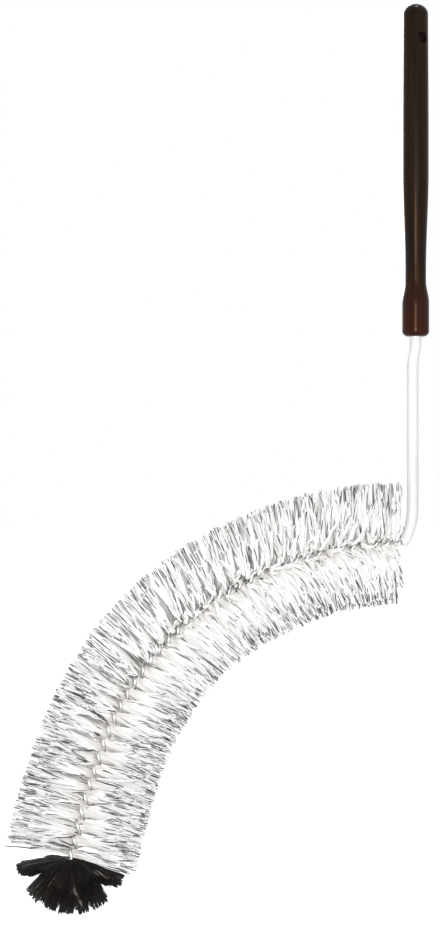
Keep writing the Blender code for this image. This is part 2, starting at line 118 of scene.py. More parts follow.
class Finish:
    """A Principled material under construction, with short ways to add its texture nodes."""

    def __init__(self, name: str) -> None:
        """Starts a material with one Principled shader.

        Args:
            name: Name of the material.
        """
        self.material = bpy.data.materials.new(name)
        self.material.use_nodes = True
        self.tree = self.material.node_tree
        self.shader = self.tree.nodes["Principled BSDF"]

    def constant(self, socket: str, value: float | Colour) -> None:
        """Sets one value that is the same all over the surface.

        Args:
            socket: Name of the shader's input.
            value: A number, or a colour.
        """
        numbers = (*value, 1.0) if isinstance(value, tuple) else value
        self.shader.inputs[socket].default_value = numbers

    def wire(self, socket: str, source: bpy.types.NodeSocket) -> None:
        """Links a node's output to the shader.

        Args:
            socket: Name of the shader's input.
            source: What it takes.
        """
        self.tree.links.new(source, self.shader.inputs[socket])

    def fill(self, node: bpy.types.Node, **inputs: float | Place | bpy.types.NodeSocket) -> None:
        """Fills a node's inputs.

        Args:
            node: The node.
            **inputs: Numbers, places or sockets by input name, with spaces as underscores.
        """
        for name, value in inputs.items():
            socket = node.inputs[name.replace("_", " ")]
            if isinstance(value, bpy.types.NodeSocket):
                self.tree.links.new(value, socket)
            else:
                socket.default_value = value

    def node(self, kind: str, **inputs: float | Place | bpy.types.NodeSocket) -> bpy.types.Node:
        """Adds a node and fills its inputs.

        Args:
            kind: Blender's type of the node.
            **inputs: Numbers, places or sockets by input name, with spaces as underscores.

        Returns:
            The new node.
        """
        made = self.tree.nodes.new(kind)
        self.fill(made, **inputs)
        return made

    def places(self, scale: Place = (1.0, 1.0, 1.0)) -> bpy.types.NodeSocket:
        """Object coordinates in metres, stretched.

        Args:
            scale: Features per metre along X, Y and Z.

        Returns:
            The coordinates' socket.
        """
        where = self.node("ShaderNodeTexCoord").outputs["Object"]
        return self.node("ShaderNodeMapping", Vector=where, Scale=scale).outputs["Vector"]

    def noise(self, clouds: Clouds) -> bpy.types.NodeSocket:
        """Cloudy noise over the piece.

        Args:
            clouds: The noise.

        Returns:
            The noise's value, about 0.5 on average.
        """
        where = self.places(clouds.scale)
        made = self.node("ShaderNodeTexNoise", Vector=where, Scale=1.0, Detail=clouds.detail)
        return made.outputs["Fac"]

    def ramp(self, value: bpy.types.NodeSocket, stops: Stops) -> bpy.types.NodeSocket:
        """Colours along a value.

        Args:
            value: What picks the colour, from 0 to 1.
            stops: Positions and their colours, in order.

        Returns:
            The colour's socket.
        """
        made = self.node("ShaderNodeValToRGB", Fac=value)
        elements = made.color_ramp.elements
        while len(elements) < len(stops):
            elements.new(1.0)
        for element, (position, colour) in zip(elements, stops):
            element.position = position
            element.color = (*colour, 1.0)
        return made.outputs["Color"]

    def spread(self, value: bpy.types.NodeSocket, ends: Pair) -> bpy.types.NodeSocket:
        """A 0 to 1 value laid out between two numbers.

        Args:
            value: What is laid out.
            ends: Results at 0 and at 1.

        Returns:
            The result's socket.
        """
        made = self.node("ShaderNodeMapRange", Value=value, To_Min=ends[0], To_Max=ends[1])
        return made.outputs["Result"]

    def mixed(
        self,
        share: float | bpy.types.NodeSocket,
        first: bpy.types.NodeSocket,
        second: bpy.types.NodeSocket,
        blend: Blend = Blend.MIX,
    ) -> bpy.types.NodeSocket:
        """A blend of two colours.

        Args:
            share: How much of the second colour shows.
            first: The first colour.
            second: The second colour.
            blend: How the second joins the first.

        Returns:
            The blend's socket.
        """
        mix = self.node("ShaderNodeMix")
        mix.data_type = "RGBA"
        mix.blend_type = blend.value
        self.fill(mix, Factor=share, A=first, B=second)
        return mix.outputs["Result"]

    def bump(self, relief: Relief) -> None:
        """Adds relief to the shader's normal.

        Args:
            relief: The relief.
        """
        height = self.noise(relief.clouds)
        made = self.node(
            "ShaderNodeBump", Height=height, Strength=relief.strength, Distance=relief.depth
        )
        self.wire("Normal", made.outputs["Normal"])


@dataclass(frozen=True)
class LacqueredWood:
    """Dark stained wood under clear gloss lacquer, with its grain along the handle.

    The stain is thinner and redder towards the collar.
    """

    grain: Clouds = Clouds((260.0, 260.0, 9.0), 6.0)
    body: Stops = ((0.30, (0.0052, 0.0042, 0.0034)), (0.72, (0.0180, 0.0112, 0.0078)))
    collar: Stops = ((0.30, (0.0200, 0.0055, 0.0042)), (0.72, (0.0520, 0.0145, 0.0100)))
    collar_height: float = -0.205
    fade: float = 0.030
    roughness: Pair = (0.16, 0.30)
    specular: float = 0.11
    specular_tint: Colour = (1.0, 0.60, 0.36)
    coat: float = 0.012
    coat_roughness: float = 0.06
    pores: Relief = Relief(Clouds((1500.0, 1500.0, 60.0), 2.0), 0.25, 0.00006)

    def make(self, name: str) -> bpy.types.Material:
        """Makes the material.

        Args:
            name: Name of the material.

        Returns:
            The material.
        """
        finish = Finish(name)
        grain = finish.noise(self.grain)
        body = finish.ramp(grain, self.body)
        collar = finish.ramp(grain, self.collar)
        finish.wire("Base Color", finish.mixed(self._bareness(finish), body, collar))
        finish.wire("Roughness", finish.spread(grain, self.roughness))
        finish.constant("Specular IOR Level", self.specular)
        finish.constant("Specular Tint", self.specular_tint)
        finish.constant("Coat Weight", self.coat)
        finish.constant("Coat Roughness", self.coat_roughness)
        finish.bump(self.pores)
        return finish.material

    def _bareness(self, finish: Finish) -> bpy.types.NodeSocket:
        """How much of the collar's thinner stain shows.

        Args:
            finish: The material under construction.

        Returns:
            A value that goes from 0 on the body to 1 on the collar.
        """
        height = finish.node("ShaderNodeSeparateXYZ", Vector=finish.places()).outputs["Z"]
        made = finish.node(
            "ShaderNodeMapRange",
            Value=height,
            From_Min=self.collar_height + self.fade,
            From_Max=self.collar_height - self.fade,
        )
        return made.outputs["Result"]


@dataclass(frozen=True)
class MottledFinish:
    """A skin with cloudy tones, a roughness that goes with them and fine relief."""

    clouds: Clouds
    tones: Stops
    roughness: Pair
    relief: Relief
    metallic: float = 0.0

    def make(self, name: str) -> bpy.types.Material:
        """Makes the material.

        Args:
            name: Name of the material.

        Returns:
            The material.
        """
        finish = Finish(name)
        mottle = finish.noise(self.clouds)
        finish.wire("Base Color", finish.ramp(mottle, self.tones))
        finish.wire("Roughness", finish.spread(mottle, self.roughness))
        finish.constant("Metallic", self.metallic)
        finish.bump(self.relief)
        return finish.material


@dataclass(frozen=True)
class StrandFinish:
    """Plastic strands whose map holds their tone across and the place along them upwards."""

    tones: Stops
    root_tint: Colour
    roughness: Pair
    root_share: float = 0.42
    specular: float = 0.5

    def make(self, name: str) -> bpy.types.Material:
        """Makes the material.

        Args:
            name: Name of the material.

        Returns:
            The material.
        """
        finish = Finish(name)
        chart = finish.node("ShaderNodeUVMap")
        chart.uv_map = StrandBatch.MAP
        parts = finish.node("ShaderNodeSeparateXYZ", Vector=chart.outputs["UV"])
        tone = finish.ramp(parts.outputs["X"], self.tones)
        tint = finish.ramp(parts.outputs["Y"], ((0.0, self.root_tint), (self.root_share, WHITE)))
        finish.wire("Base Color", finish.mixed(1.0, tone, tint, Blend.MULTIPLY))
        finish.wire("Roughness", finish.spread(parts.outputs["Y"], self.roughness))
        finish.constant("Specular IOR Level", self.specular)
        return finish.material


SLEEVE_PLASTIC = MottledFinish(
    clouds=Clouds((140.0, 140.0, 28.0), 4.0),
    tones=((0.32, (0.76, 0.76, 0.75)), (0.68, (0.84, 0.84, 0.825))),
    roughness=(0.28, 0.40),
    relief=Relief(Clouds((900.0, 900.0, 130.0), 2.0), 0.15, 0.00005),
)

ZINC_WIRE = MottledFinish(
    clouds=Clouds((700.0, 700.0, 700.0), 5.0),
    tones=((0.30, (0.58, 0.59, 0.60)), (0.62, (0.92, 0.93, 0.93))),
    roughness=(0.40, 0.24),
    relief=Relief(Clouds((2600.0, 2600.0, 2600.0), 1.0), 0.2, 0.00003),
    metallic=1.0,
)

WHITE_NYLON = StrandFinish(
    tones=(
        (0.0, (0.014, 0.012, 0.012)),
        (0.25, (0.085, 0.078, 0.076)),
        (0.5, (0.34, 0.328, 0.320)),
        (0.8, (0.84, 0.832, 0.822)),
        (1.0, (0.97, 0.965, 0.957)),
    ),
    root_tint=(1.0, 0.975, 0.945),
    roughness=(0.38, 0.53),
)

BLACK_FIBRE = StrandFinish(
    tones=(
        (0.0, (0.008, 0.0065, 0.0055)),
        (0.5, (0.016, 0.0130, 0.0105)),
        (0.8, (0.060, 0.052, 0.046)),
        (1.0, (0.42, 0.40, 0.38)),
    ),
    root_tint=(1.0, 0.86, 0.80),
    roughness=(0.42, 0.57),
    specular=0.35,
)


# Gentle steps


def eased(share: np.ndarray | float) -> np.ndarray:
    """A share from 0 to 1 that leaves and arrives gently."""
    share = np.clip(share, 0.0, 1.0)
    return share * share * (3 - 2 * share)


@dataclass(frozen=True)
class Rise:
    """A gentle step from 0 to 1, with the share at which it starts and its width."""

    start: float
    width: float

    def at(self, share: np.ndarray) -> np.ndarray:
        """Height of the step at some shares."""
        return eased((share - self.start) / self.width)


# The wire's path


@dataclass(frozen=True)
class Stretch:
    """A straight or an arc of the wire's centreline, whose turn is positive towards the head."""

    length: float
    turn: float = 0.0

    @classmethod
    def bend(cls, radius: float, degrees: float) -> Stretch:
        """An arc from its radius and its turn in degrees."""
        turn = math.radians(degrees)
        return cls(radius * abs(turn), turn)


@dataclass(frozen=True)
class Track:
    """Places on the centreline with their axes, one row each."""

    points: np.ndarray
    along: np.ndarray
    outward: np.ndarray

    @property
    def side(self) -> np.ndarray:
        """The way square to the plane of the bend, one row each."""
        return np.cross(self.along, self.outward)


@dataclass(frozen=True)
class Centreline:
    """Path and twist of the doubled wire, from its top end inside the handle to its end loop."""

    handle_bottom: float = -0.2335
    socket_depth: float = 0.060
    stem: tuple[Stretch, ...] = (
        Stretch(0.062),
        Stretch.bend(0.055, 11.7),
        Stretch.bend(0.055, -11.7),
        Stretch(0.1092),
        Stretch.bend(0.0592, 25.0),
    )
    elbow: Stretch = Stretch.bend(0.0063, 63.5)
    head: tuple[Stretch, ...] = (
        Stretch.bend(0.2733, -28.1),
        Stretch.bend(0.2335, -40.3),
        Stretch.bend(0.6105, -8.56),
    )
    turns: int = 19
    growth: float = 0.34
    stem_pitch: float = 0.036
    wire_radius: float = 0.0015
    stem_offset: float = 0.0017
    head_offset: float = 0.0024
    sleeve_into_elbow: float = 0.0042

    @property
    def elbow_start(self) -> float:
        """Distance from the wire's top end to the elbow."""
        return sum(stretch.length for stretch in self.stem)

    @property
    def head_start(self) -> float:
        """Distance from the wire's top end to the bristles."""
        return self.elbow_start + self.elbow.length

    @property
    def head_length(self) -> float:
        """Length of the bristled head along the wire."""
        return sum(stretch.length for stretch in self.head)

    @property
    def head_end(self) -> float:
        """Distance from the wire's top end to its end loop."""
        return self.head_start + self.head_length

    def track(self, distances: np.ndarray) -> Track:
        """Follows the centreline.

        Args:
            distances: Distances from the wire's top end.

        Returns:
            The places there.
        """
        distances = np.atleast_1d(np.asarray(distances, float))
        stretches = (*self.stem, self.elbow, *self.head)
        points = np.zeros((len(distances), 3))
        headings = np.zeros(len(distances))
        corner = np.array([0.0, 0.0, self.handle_bottom + self.socket_depth])
        heading = 0.0
        passed = 0.0
        for stretch in stretches:
            here = distances >= passed
            part = np.minimum(distances[here] - passed, stretch.length)
            points[here] = corner + self._arc(stretch, heading, part)
            headings[here] = heading + stretch.turn * part / stretch.length
            corner = corner + self._arc(stretch, heading, np.array([stretch.length]))[0]
            heading += stretch.turn
            passed += stretch.length
        zero = np.zeros(len(distances))
        along = np.stack((-np.sin(headings), zero, -np.cos(headings)), axis=1)
        outward = np.stack((-np.cos(headings), zero, np.sin(headings)), axis=1)
        beyond = np.maximum(distances - passed, 0.0)
        return Track(points + along * beyond[:, None], along, outward)

    @staticmethod
    def _arc(stretch: Stretch, heading: float, part: np.ndarray) -> np.ndarray:
        """Moves along one stretch.

        Args:
            stretch: The stretch.
            heading: Heading at its start.
            part: Distances from its start.

        Returns:
            Moves from its start, one row each.
        """
        along = np.array([-math.sin(heading), 0.0, -math.cos(heading)])
        outward = np.array([-math.cos(heading), 0.0, math.sin(heading)])
        if not stretch.turn:
            return part[:, None] * along
        radius = stretch.length / stretch.turn
        angle = part / radius
        return radius * (
            np.sin(angle)[:, None] * along + (1 - np.cos(angle))[:, None] * outward
        )

    def head_distance(self, turns: np.ndarray) -> np.ndarray:
        """Distance from the wire's top end at which the head's twist has made so many turns."""
        gained = (1 + self.growth) ** (np.asarray(turns) / self.turns) - 1
        return self.head_start + self.head_length * gained / self.growth

    def twist(self, distances: np.ndarray) -> np.ndarray:
        """Angle of the first leg round the centreline.

        Args:
            distances: Distances from the wire's top end.

        Returns:
            Angles from the outer normal towards +Y.
        """
        share = np.clip((distances - self.head_start) / self.head_length, 0.0, 1.0)
        made = self.turns * np.log(1 + self.growth * share) / math.log(1 + self.growth)
        before = np.maximum(self.head_start - distances, 0.0) / self.stem_pitch
        return math.pi / 2 + 2 * math.pi * (self.turns - made + before)

    def leg_offset(self, distances: np.ndarray) -> np.ndarray:
        """How far each leg lies from the centreline.

        Args:
            distances: Distances from the wire's top end.

        Returns:
            The offsets there.
        """
        sleeve_end = self.elbow_start + self.sleeve_into_elbow
        opening = eased((distances - sleeve_end) / (self.head_start - sleeve_end))
        return self.stem_offset + (self.head_offset - self.stem_offset) * opening


# Meshes


def spokes(across: np.ndarray, upward: np.ndarray, sides: int) -> np.ndarray:
    """Ways from the points of a path to the corners of the rings round them.

    Args:
        across: A way square to the path at each point.
        upward: The way square to the path and to that one.
        sides: Corners of a ring.

    Returns:
        The ways, by point, corner and axis.
    """
    angles = FULL_TURN * np.arange(sides) / sides
    level = across[..., None, :] * np.cos(angles)[:, None]
    return level + upward[..., None, :] * np.sin(angles)[:, None]


def tube_walls(count: int, steps: int, sides: int) -> np.ndarray:
    """Faces along tubes whose vertices are numbered by tube, ring and corner.

    Args:
        count: How many tubes.
        steps: Rings of a tube.
        sides: Corners of a ring.

    Returns:
        The four vertices of each face, one row each.
    """
    first = np.arange(count)[:, None, None] * steps * sides
    near = first + np.arange(steps - 1)[None, :, None] * sides
    far = near + sides
    corner = np.arange(sides)[None, None, :]
    following = (corner + 1) % sides
    faces = (near + corner, near + following, far + following, far + corner)
    return np.stack(faces, axis=-1).reshape(-1, 4)


@dataclass
class StrandBatch:
    """Strands as rows of points, with a radius and a tone at each point.

    Plastic strands carry light in from their tips and on to their neighbours. So their normals lean
    to the tips by the angles in tilts, and to both sides of the bend's plane by evenness. The sides
    that face that plane lie deep among the other strands, and their tones lose inner_shade, which
    is painted shade.
    """

    points: np.ndarray
    radii: np.ndarray
    tones: np.ndarray
    sides: int = 3
    tilts: np.ndarray | float = 0.0
    evenness: float = 0.0
    inner_shade: np.ndarray | float = 0.0

    MAP = "OFBake"
    MAP_MARGIN = 0.02
    MAP_WIDTH = 0.012
    STRAIGHT = 0.05
    SPARE_WAY = (0.31, 0.74, 0.59)
    SPARE_TURN = 0.15
    EVEN_SOFTNESS = 0.2
    SHADE_DEPTH = 0.003
    SHADE_ALL_ROUND = 0.3
    SHADE_FACING = 1.6

    def mesh(self, name: str) -> bpy.types.Mesh:
        """Skins the strands with closed tubes.

        Args:
            name: Name of the mesh.

        Returns:
            The mesh, with its map.
        """
        count, steps = self.radii.shape
        places, normals, tones = self._skin()
        walls = tube_walls(count, steps, self.sides)
        start = np.arange(count)[:, None] * steps * self.sides
        roots = start + np.arange(self.sides)[::-1]
        tips = start + (steps - 1) * self.sides + np.arange(self.sides)
        faces = walls.tolist() + roots.tolist() + tips.tolist()
        mesh = bpy.data.meshes.new(name)
        mesh.from_pydata(places.reshape(-1, 3).tolist(), [], faces)
        mesh.shade_smooth()
        self._lay_map(mesh, tones, walls, np.concatenate((roots, tips)))
        mesh.normals_split_custom_set_from_vertices(normals.reshape(-1, 3))
        return mesh

    def _frames(self) -> tuple[np.ndarray, np.ndarray, np.ndarray]:
        """Ways along the strands and square to them.

        The ways across stand square to a strand's bend. A strand that hardly bends takes them from
        the side of the head's plane that it is on.

        Returns:
            The ways along, across and upward, by strand and point.
        """
        tangents = np.gradient(self.points, axis=1)
        tangents /= np.linalg.norm(tangents, axis=2, keepdims=True)
        root = self.points[:, 0]
        middle = self.points[:, self.points.shape[1] // 2]
        chord = self.points[:, -1] - root
        bend = np.cross(middle - root, chord)
        reach = np.linalg.norm(chord, axis=1, keepdims=True)
        spare = self.SPARE_TURN * np.cross(chord / reach, np.array(self.SPARE_WAY))
        spare[:, 1] += np.where(middle[:, 1] < 0, 1.0, -1.0)
        weak = np.linalg.norm(bend, axis=1, keepdims=True) < self.STRAIGHT * reach**2
        across = np.where(weak, spare, bend)[:, None, :]
        upward = np.cross(tangents, across)
        upward /= np.linalg.norm(upward, axis=2, keepdims=True)
        return tangents, np.cross(upward, tangents), upward

    def _skin(self) -> tuple[np.ndarray, np.ndarray, np.ndarray]:
        """Places, normals and tones of the tubes' vertices.

        Returns:
            The places, normals and tones, by strand, point and corner.
        """
        tangents, across, upward = self._frames()
        swing = spokes(across, upward, self.sides)
        places = self.points[:, :, None] + swing * self.radii[:, :, None, None]
        sideways = swing[..., 1:2]
        level = np.array([0.0, 1.0, 0.0]) - tangents * tangents[..., 1:2]
        push = self.evenness * sideways / (np.abs(sideways) + self.EVEN_SOFTNESS)
        even = swing + push * level[:, :, None]
        even /= np.linalg.norm(even, axis=3, keepdims=True)
        tilts = np.broadcast_to(self.tilts, self.radii.shape)[:, :, None, None]
        normals = even * np.cos(tilts) + tangents[:, :, None] * np.sin(tilts)
        # Painted shade: the corners that face the bend's plane lose inner_shade from their tones.
        depth = np.clip(places[..., 1] / self.SHADE_DEPTH, -1.0, 1.0)
        hidden = self.SHADE_ALL_ROUND * np.abs(depth) - self.SHADE_FACING * swing[..., 1] * depth
        shade = np.broadcast_to(self.inner_shade, self.radii.shape)[:, :, None]
        shade = shade * np.clip(hidden, 0.0, 1.0)
        return places, normals, self.tones[:, :, None] * (1 - shade)

    def _lay_map(
        self, mesh: bpy.types.Mesh, tones: np.ndarray, walls: np.ndarray, caps: np.ndarray
    ) -> None:
        """Lays the map so that a face's place in it gives its tone and its place along the strand.

        Args:
            mesh: The mesh, whose faces are the walls and then the caps.
            tones: Tones by strand, point and corner.
            walls: Vertices of the tubes' sides.
            caps: Vertices of the tubes' ends.
        """
        count, steps = self.radii.shape
        room = 1 - 2 * self.MAP_MARGIN
        corners = np.arange(self.sides) / self.sides
        across = self.MAP_MARGIN + room * tones + (corners - 0.5) * self.MAP_WIDTH
        upward = self.MAP_MARGIN + room * np.linspace(0.0, 1.0, steps)
        upward = np.broadcast_to(upward[None, :, None], (count, steps, self.sides))
        chart = np.stack((across, upward), axis=-1).reshape(-1, 2)
        cap_chart = chart[caps]
        cap_chart[:, :, 1] += np.sin(FULL_TURN * corners) * self.MAP_WIDTH
        places = np.concatenate((chart[walls].reshape(-1, 2), cap_chart.reshape(-1, 2)))
        layer = mesh.uv_layers.new(name=self.MAP)
        layer.data.foreach_set("uv", np.clip(places, 0.0, 1.0).ravel())


def swept_mesh(name: str, points: np.ndarray, radius: float, sides: int) -> bpy.types.Mesh:
    """A round rod along any path, with closed ends and no spin of its own.

    Args:
        name: Name of the mesh.
        points: The path.
        radius: The rod's radius.
        sides: Faces round the rod.

    Returns:
        The mesh.
    """
    tangents = np.gradient(points, axis=0)
    tangents /= np.linalg.norm(tangents, axis=1, keepdims=True)
    across = np.empty_like(points)
    across[0] = np.cross(tangents[0], (0.0, 1.0, 0.0))
    across[0] /= np.linalg.norm(across[0])
    for i in range(1, len(points)):
        level = across[i - 1] - tangents[i] * across[i - 1].dot(tangents[i])
        across[i] = level / np.linalg.norm(level)
    swing = spokes(across, np.cross(tangents, across), sides)
    verts = (points[:, None] + swing * radius).reshape(-1, 3)
    walls = tube_walls(1, len(points), sides)
    start = list(range(sides))[::-1]
    end = list(range(len(verts) - sides, len(verts)))
    mesh = bpy.data.meshes.new(name)
    mesh.from_pydata(verts.tolist(), [], [*walls.tolist(), start, end])
    mesh.shade_smooth()
    return mesh


def join_rings(
    bm: bmesh.types.BMesh, rings: list[list[bmesh.types.BMVert]], closed: bool = False
) -> None:
    """Adds the faces between each ring of vertices and the next.

    Args:
        bm: The mesh under construction.
        rings: The rings, all with the same number of vertices.
        closed: Whether the last ring joins the first one.
    """
    following = rings[1:] + rings[:1] if closed else rings[1:]
    for first, second in zip(rings, following):
        for i in range(len(first)):
            j = (i + 1) % len(first)
            bm.faces.new((first[i], first[j], second[j], second[i]))


def turned_bmesh(outline: Sequence[Pair], sides: int) -> bmesh.types.BMesh:
    """Turns an outline round Z.

    Args:
        outline: Radius and height of each point, from one end on the axis to the other.
        sides: Faces round the axis.

    Returns:
        The closed mesh, under construction.
    """
    bm = bmesh.new()
    angles = [FULL_TURN * i / sides for i in range(sides)]
    rings = [
        [bm.verts.new((radius * math.cos(a), radius * math.sin(a), height)) for a in angles]
        for radius, height in outline[1:-1]
    ]
    join_rings(bm, rings)
    for (_, height), rim in ((outline[0], rings[0]), (outline[-1], rings[-1])):
        tip = bm.verts.new((0.0, 0.0, height))
        for i in range(sides):
            bm.faces.new((tip, rim[i], rim[(i + 1) % sides]))
    return bm


def finished_mesh(name: str, bm: bmesh.types.BMesh) -> bpy.types.Mesh:
    """Turns the faces of a mesh under construction outwards and makes it a mesh of the scene.

    Args:
        name: Name of the mesh.
        bm: The mesh under construction, which is used up.

    Returns:
        The mesh.
    """
    bmesh.ops.recalc_face_normals(bm, faces=bm.faces)
    mesh = bpy.data.meshes.new(name)
    bm.to_mesh(mesh)
    bm.free()
    return mesh


def add_object(
    name: str, data: bpy.types.ID, finish: bpy.types.Material | None = None
) -> bpy.types.Object:
    """Puts a mesh, a lamp or a camera in the scene.

    Args:
        name: Name of the object.
        data: Its mesh, lamp or camera.
        finish: The mesh's material, if it shows.

    Returns:
        The object.
    """
    made = bpy.data.objects.new(name, data)
    bpy.context.scene.collection.objects.link(made)
    if finish is not None:
        data.materials.append(finish)
    return made


def seat(piece: bpy.types.Object, node: str) -> bpy.types.Object:
    """Makes a finished piece stand for its CAD node.

    Args:
        piece: The piece.
        node: Name of the CAD node.

    Returns:
        The piece.
    """
    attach(piece, "root")
    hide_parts(node)
    return piece


# Handle


@dataclass
class Handle:
    """The turned handle, with its stations as shares of its length from the top."""

    length: float = 0.261
    top: float = 0.0275
    dome_height: float = 0.0082
    dome_steps: int = 20
    stations: tuple[Pair, ...] = (
        (0.0, 0.0098),
        (0.38, 0.0102),
        (0.506, 0.0102),
        (0.80, 0.0082),
        (0.835, 0.0082),
        (0.898, 0.0106),
        (1.0, 0.0106),
    )
    body_steps: int = 110
    collar_radius: float = 0.0106
    fillet: float = 0.0045
    fillet_steps: int = 14
    lip: float = 0.0003
    socket_radius: float = 0.0048
    socket_depth: float = 0.0143
    bore_radius: float = 0.00357
    bore_depth: float = 0.0615
    hole_radius: float = 0.004
    hole_rounding: float = 0.0013
    hole_steepest: float = math.radians(62.0)
    hole_steps: int = 8
    hole_overrun: float = 0.002
    hole_turn: float = math.radians(32.0)
    hole_sides: int = 64
    sides: int = 96
    crease: float = math.radians(35.0)
    finish: LacqueredWood = LacqueredWood()

    def radius_at(self, share: float) -> float:
        """Radius of the body.

        Args:
            share: Share of the handle's length from its top.

        Returns:
            The radius there.
        """
        for (low, low_radius), (high, high_radius) in zip(self.stations, self.stations[1:]):
            if share <= high:
                step = float(eased((share - low) / (high - low)))
                return low_radius + (high_radius - low_radius) * step
        return self.collar_radius

    def outline(self) -> list[Pair]:
        """Outline from the dome's top down the outside and up the bores.

        Returns:
            Radius and height of each point.
        """
        bottom = self.top - self.length
        dome_share = self.dome_height / self.length
        dome_radius = self.radius_at(dome_share)
        profile = [(0.0, self.top)]
        for angle in np.linspace(0.0, QUARTER_TURN, self.dome_steps + 1)[1:-1]:
            drop = self.dome_height * (1 - math.cos(angle))
            profile.append((dome_radius * math.sin(angle), self.top - drop))
        for share in np.linspace(dome_share, 1 - self.fillet / self.length, self.body_steps):
            profile.append((self.radius_at(float(share)), self.top - self.length * float(share)))
        for angle in np.linspace(0.0, QUARTER_TURN, self.fillet_steps + 1)[1:]:
            radius = self.collar_radius - self.fillet * (1 - math.cos(angle))
            profile.append((radius, bottom + self.fillet * (1 - math.sin(angle))))
        profile.append((self.socket_radius + self.lip, bottom))
        profile.append((self.socket_radius, bottom + self.lip))
        profile.append((self.socket_radius, bottom + self.socket_depth))
        profile.append((self.bore_radius, bottom + self.socket_depth))
        profile.append((self.bore_radius, bottom + self.bore_depth))
        profile.append((0.0, bottom + self.bore_depth))
        return profile

    def drill(self) -> bpy.types.Object:
        """Makes the hanging hole as a solid, with mouths that round into the handle's surface.

        Returns:
            The solid.
        """
        start = self.radius_at(self.top / self.length) - self.hole_rounding
        mouth = []
        for angle in np.linspace(0.0, self.hole_steepest, self.hole_steps + 1):
            radius = self.hole_radius + self.hole_rounding * (1 - math.cos(angle))
            mouth.append((radius, start + self.hole_rounding * math.sin(angle)))
        radius, height = mouth[-1]
        reach = height + self.hole_overrun
        mouth.append((radius + self.hole_overrun * math.tan(self.hole_steepest), reach))
        mouth.append((0.0, reach))
        bm = turned_bmesh([(r, -h) for r, h in reversed(mouth)] + mouth, self.hole_sides)
        turn = Matrix.Rotation(self.hole_turn, 4, "Z") @ Matrix.Rotation(QUARTER_TURN, 4, "X")
        bmesh.ops.transform(bm, matrix=turn, verts=bm.verts)
        return add_object("hang_hole_drill", finished_mesh("hang_hole_drill", bm))

    def build(self) -> bpy.types.Object:
        """Turns, drills and dresses the handle.

        Returns:
            The piece.
        """
        blank = finished_mesh("handle_blank", turned_bmesh(self.outline(), self.sides))
        piece = add_object("handle_turned", blank, self.finish.make("dark_lacquered_wood"))
        drill = self.drill()
        boolean = piece.modifiers.new("hang_hole", "BOOLEAN")
        boolean.operation = "DIFFERENCE"
        boolean.solver = "EXACT"
        boolean.object = drill
        drilled = bpy.data.meshes.new_from_object(
            piece.evaluated_get(bpy.context.evaluated_depsgraph_get())
        )
        piece.modifiers.clear()
        piece.data = drilled
        bpy.data.objects.remove(drill, do_unlink=True)
        drilled.shade_smooth()
        drilled.set_sharp_from_angle(angle=self.crease)
        return seat(piece, "handle")


# Stem and wire


@dataclass
class StemSleeve:
    """The plastic tube over the stem, from the handle's socket into the elbow."""

    path: Centreline
    radius: float = 0.0045
    bore: float = 0.0036
    socket_depth: float = 0.014
    lip: float = 0.0004
    lip_steps: int = 5
    stem_steps: int = 150
    elbow_steps: int = 14
    sides: int = 48
    crease: float = math.radians(50.0)
    finish: MottledFinish = SLEEVE_PLASTIC

    def shells(self, last: int) -> list[tuple[int, float, float]]:
        """Rings of the tube, up its outside with rounded edges and back down its bore.

        Args:
            last: Number of the path's last point.

        Returns:
            The point, the radius and the shift along the path of each ring.
        """
        lips = [
            (self.radius - self.lip * (1 - math.sin(a)), self.lip * (1 - math.cos(a)))
            for a in np.linspace(0.0, QUARTER_TURN, self.lip_steps)
        ]
        shells = [(0, radius, inset) for radius, inset in lips[:-1]]
        shells += [(i, self.radius, 0.0) for i in range(1, last)]
        shells += [(last, radius, -inset) for radius, inset in lips[::-1]]
        shells += [(i, self.bore, 0.0) for i in range(last, -1, -1)]
        return shells

    def build(self) -> bpy.types.Object:
        """Sweeps and dresses the tube.

        Returns:
            The piece.
        """
        start = self.path.socket_depth - self.socket_depth
        end = self.path.elbow_start + self.path.sleeve_into_elbow
        stem = np.linspace(start, self.path.elbow_start, self.stem_steps)
        elbow = np.linspace(self.path.elbow_start, end, self.elbow_steps)[1:]
        track = self.path.track(np.concatenate((stem, elbow)))
        swing = spokes(track.outward, track.side, self.sides)
        bm = bmesh.new()
        rings = []
        for index, radius, shift in self.shells(len(track.points) - 1):
            centre = track.points[index] + track.along[index] * shift
            rings.append([bm.verts.new(corner) for corner in centre + swing[index] * radius])
        join_rings(bm, rings, closed=True)
        mesh = finished_mesh("sleeve_tube", bm)
        mesh.shade_smooth()
        mesh.set_sharp_from_angle(angle=self.crease)
        piece = add_object("sleeve_tube", mesh, self.finish.make("white_sleeve_plastic"))
        return seat(piece, "stem_sleeve")


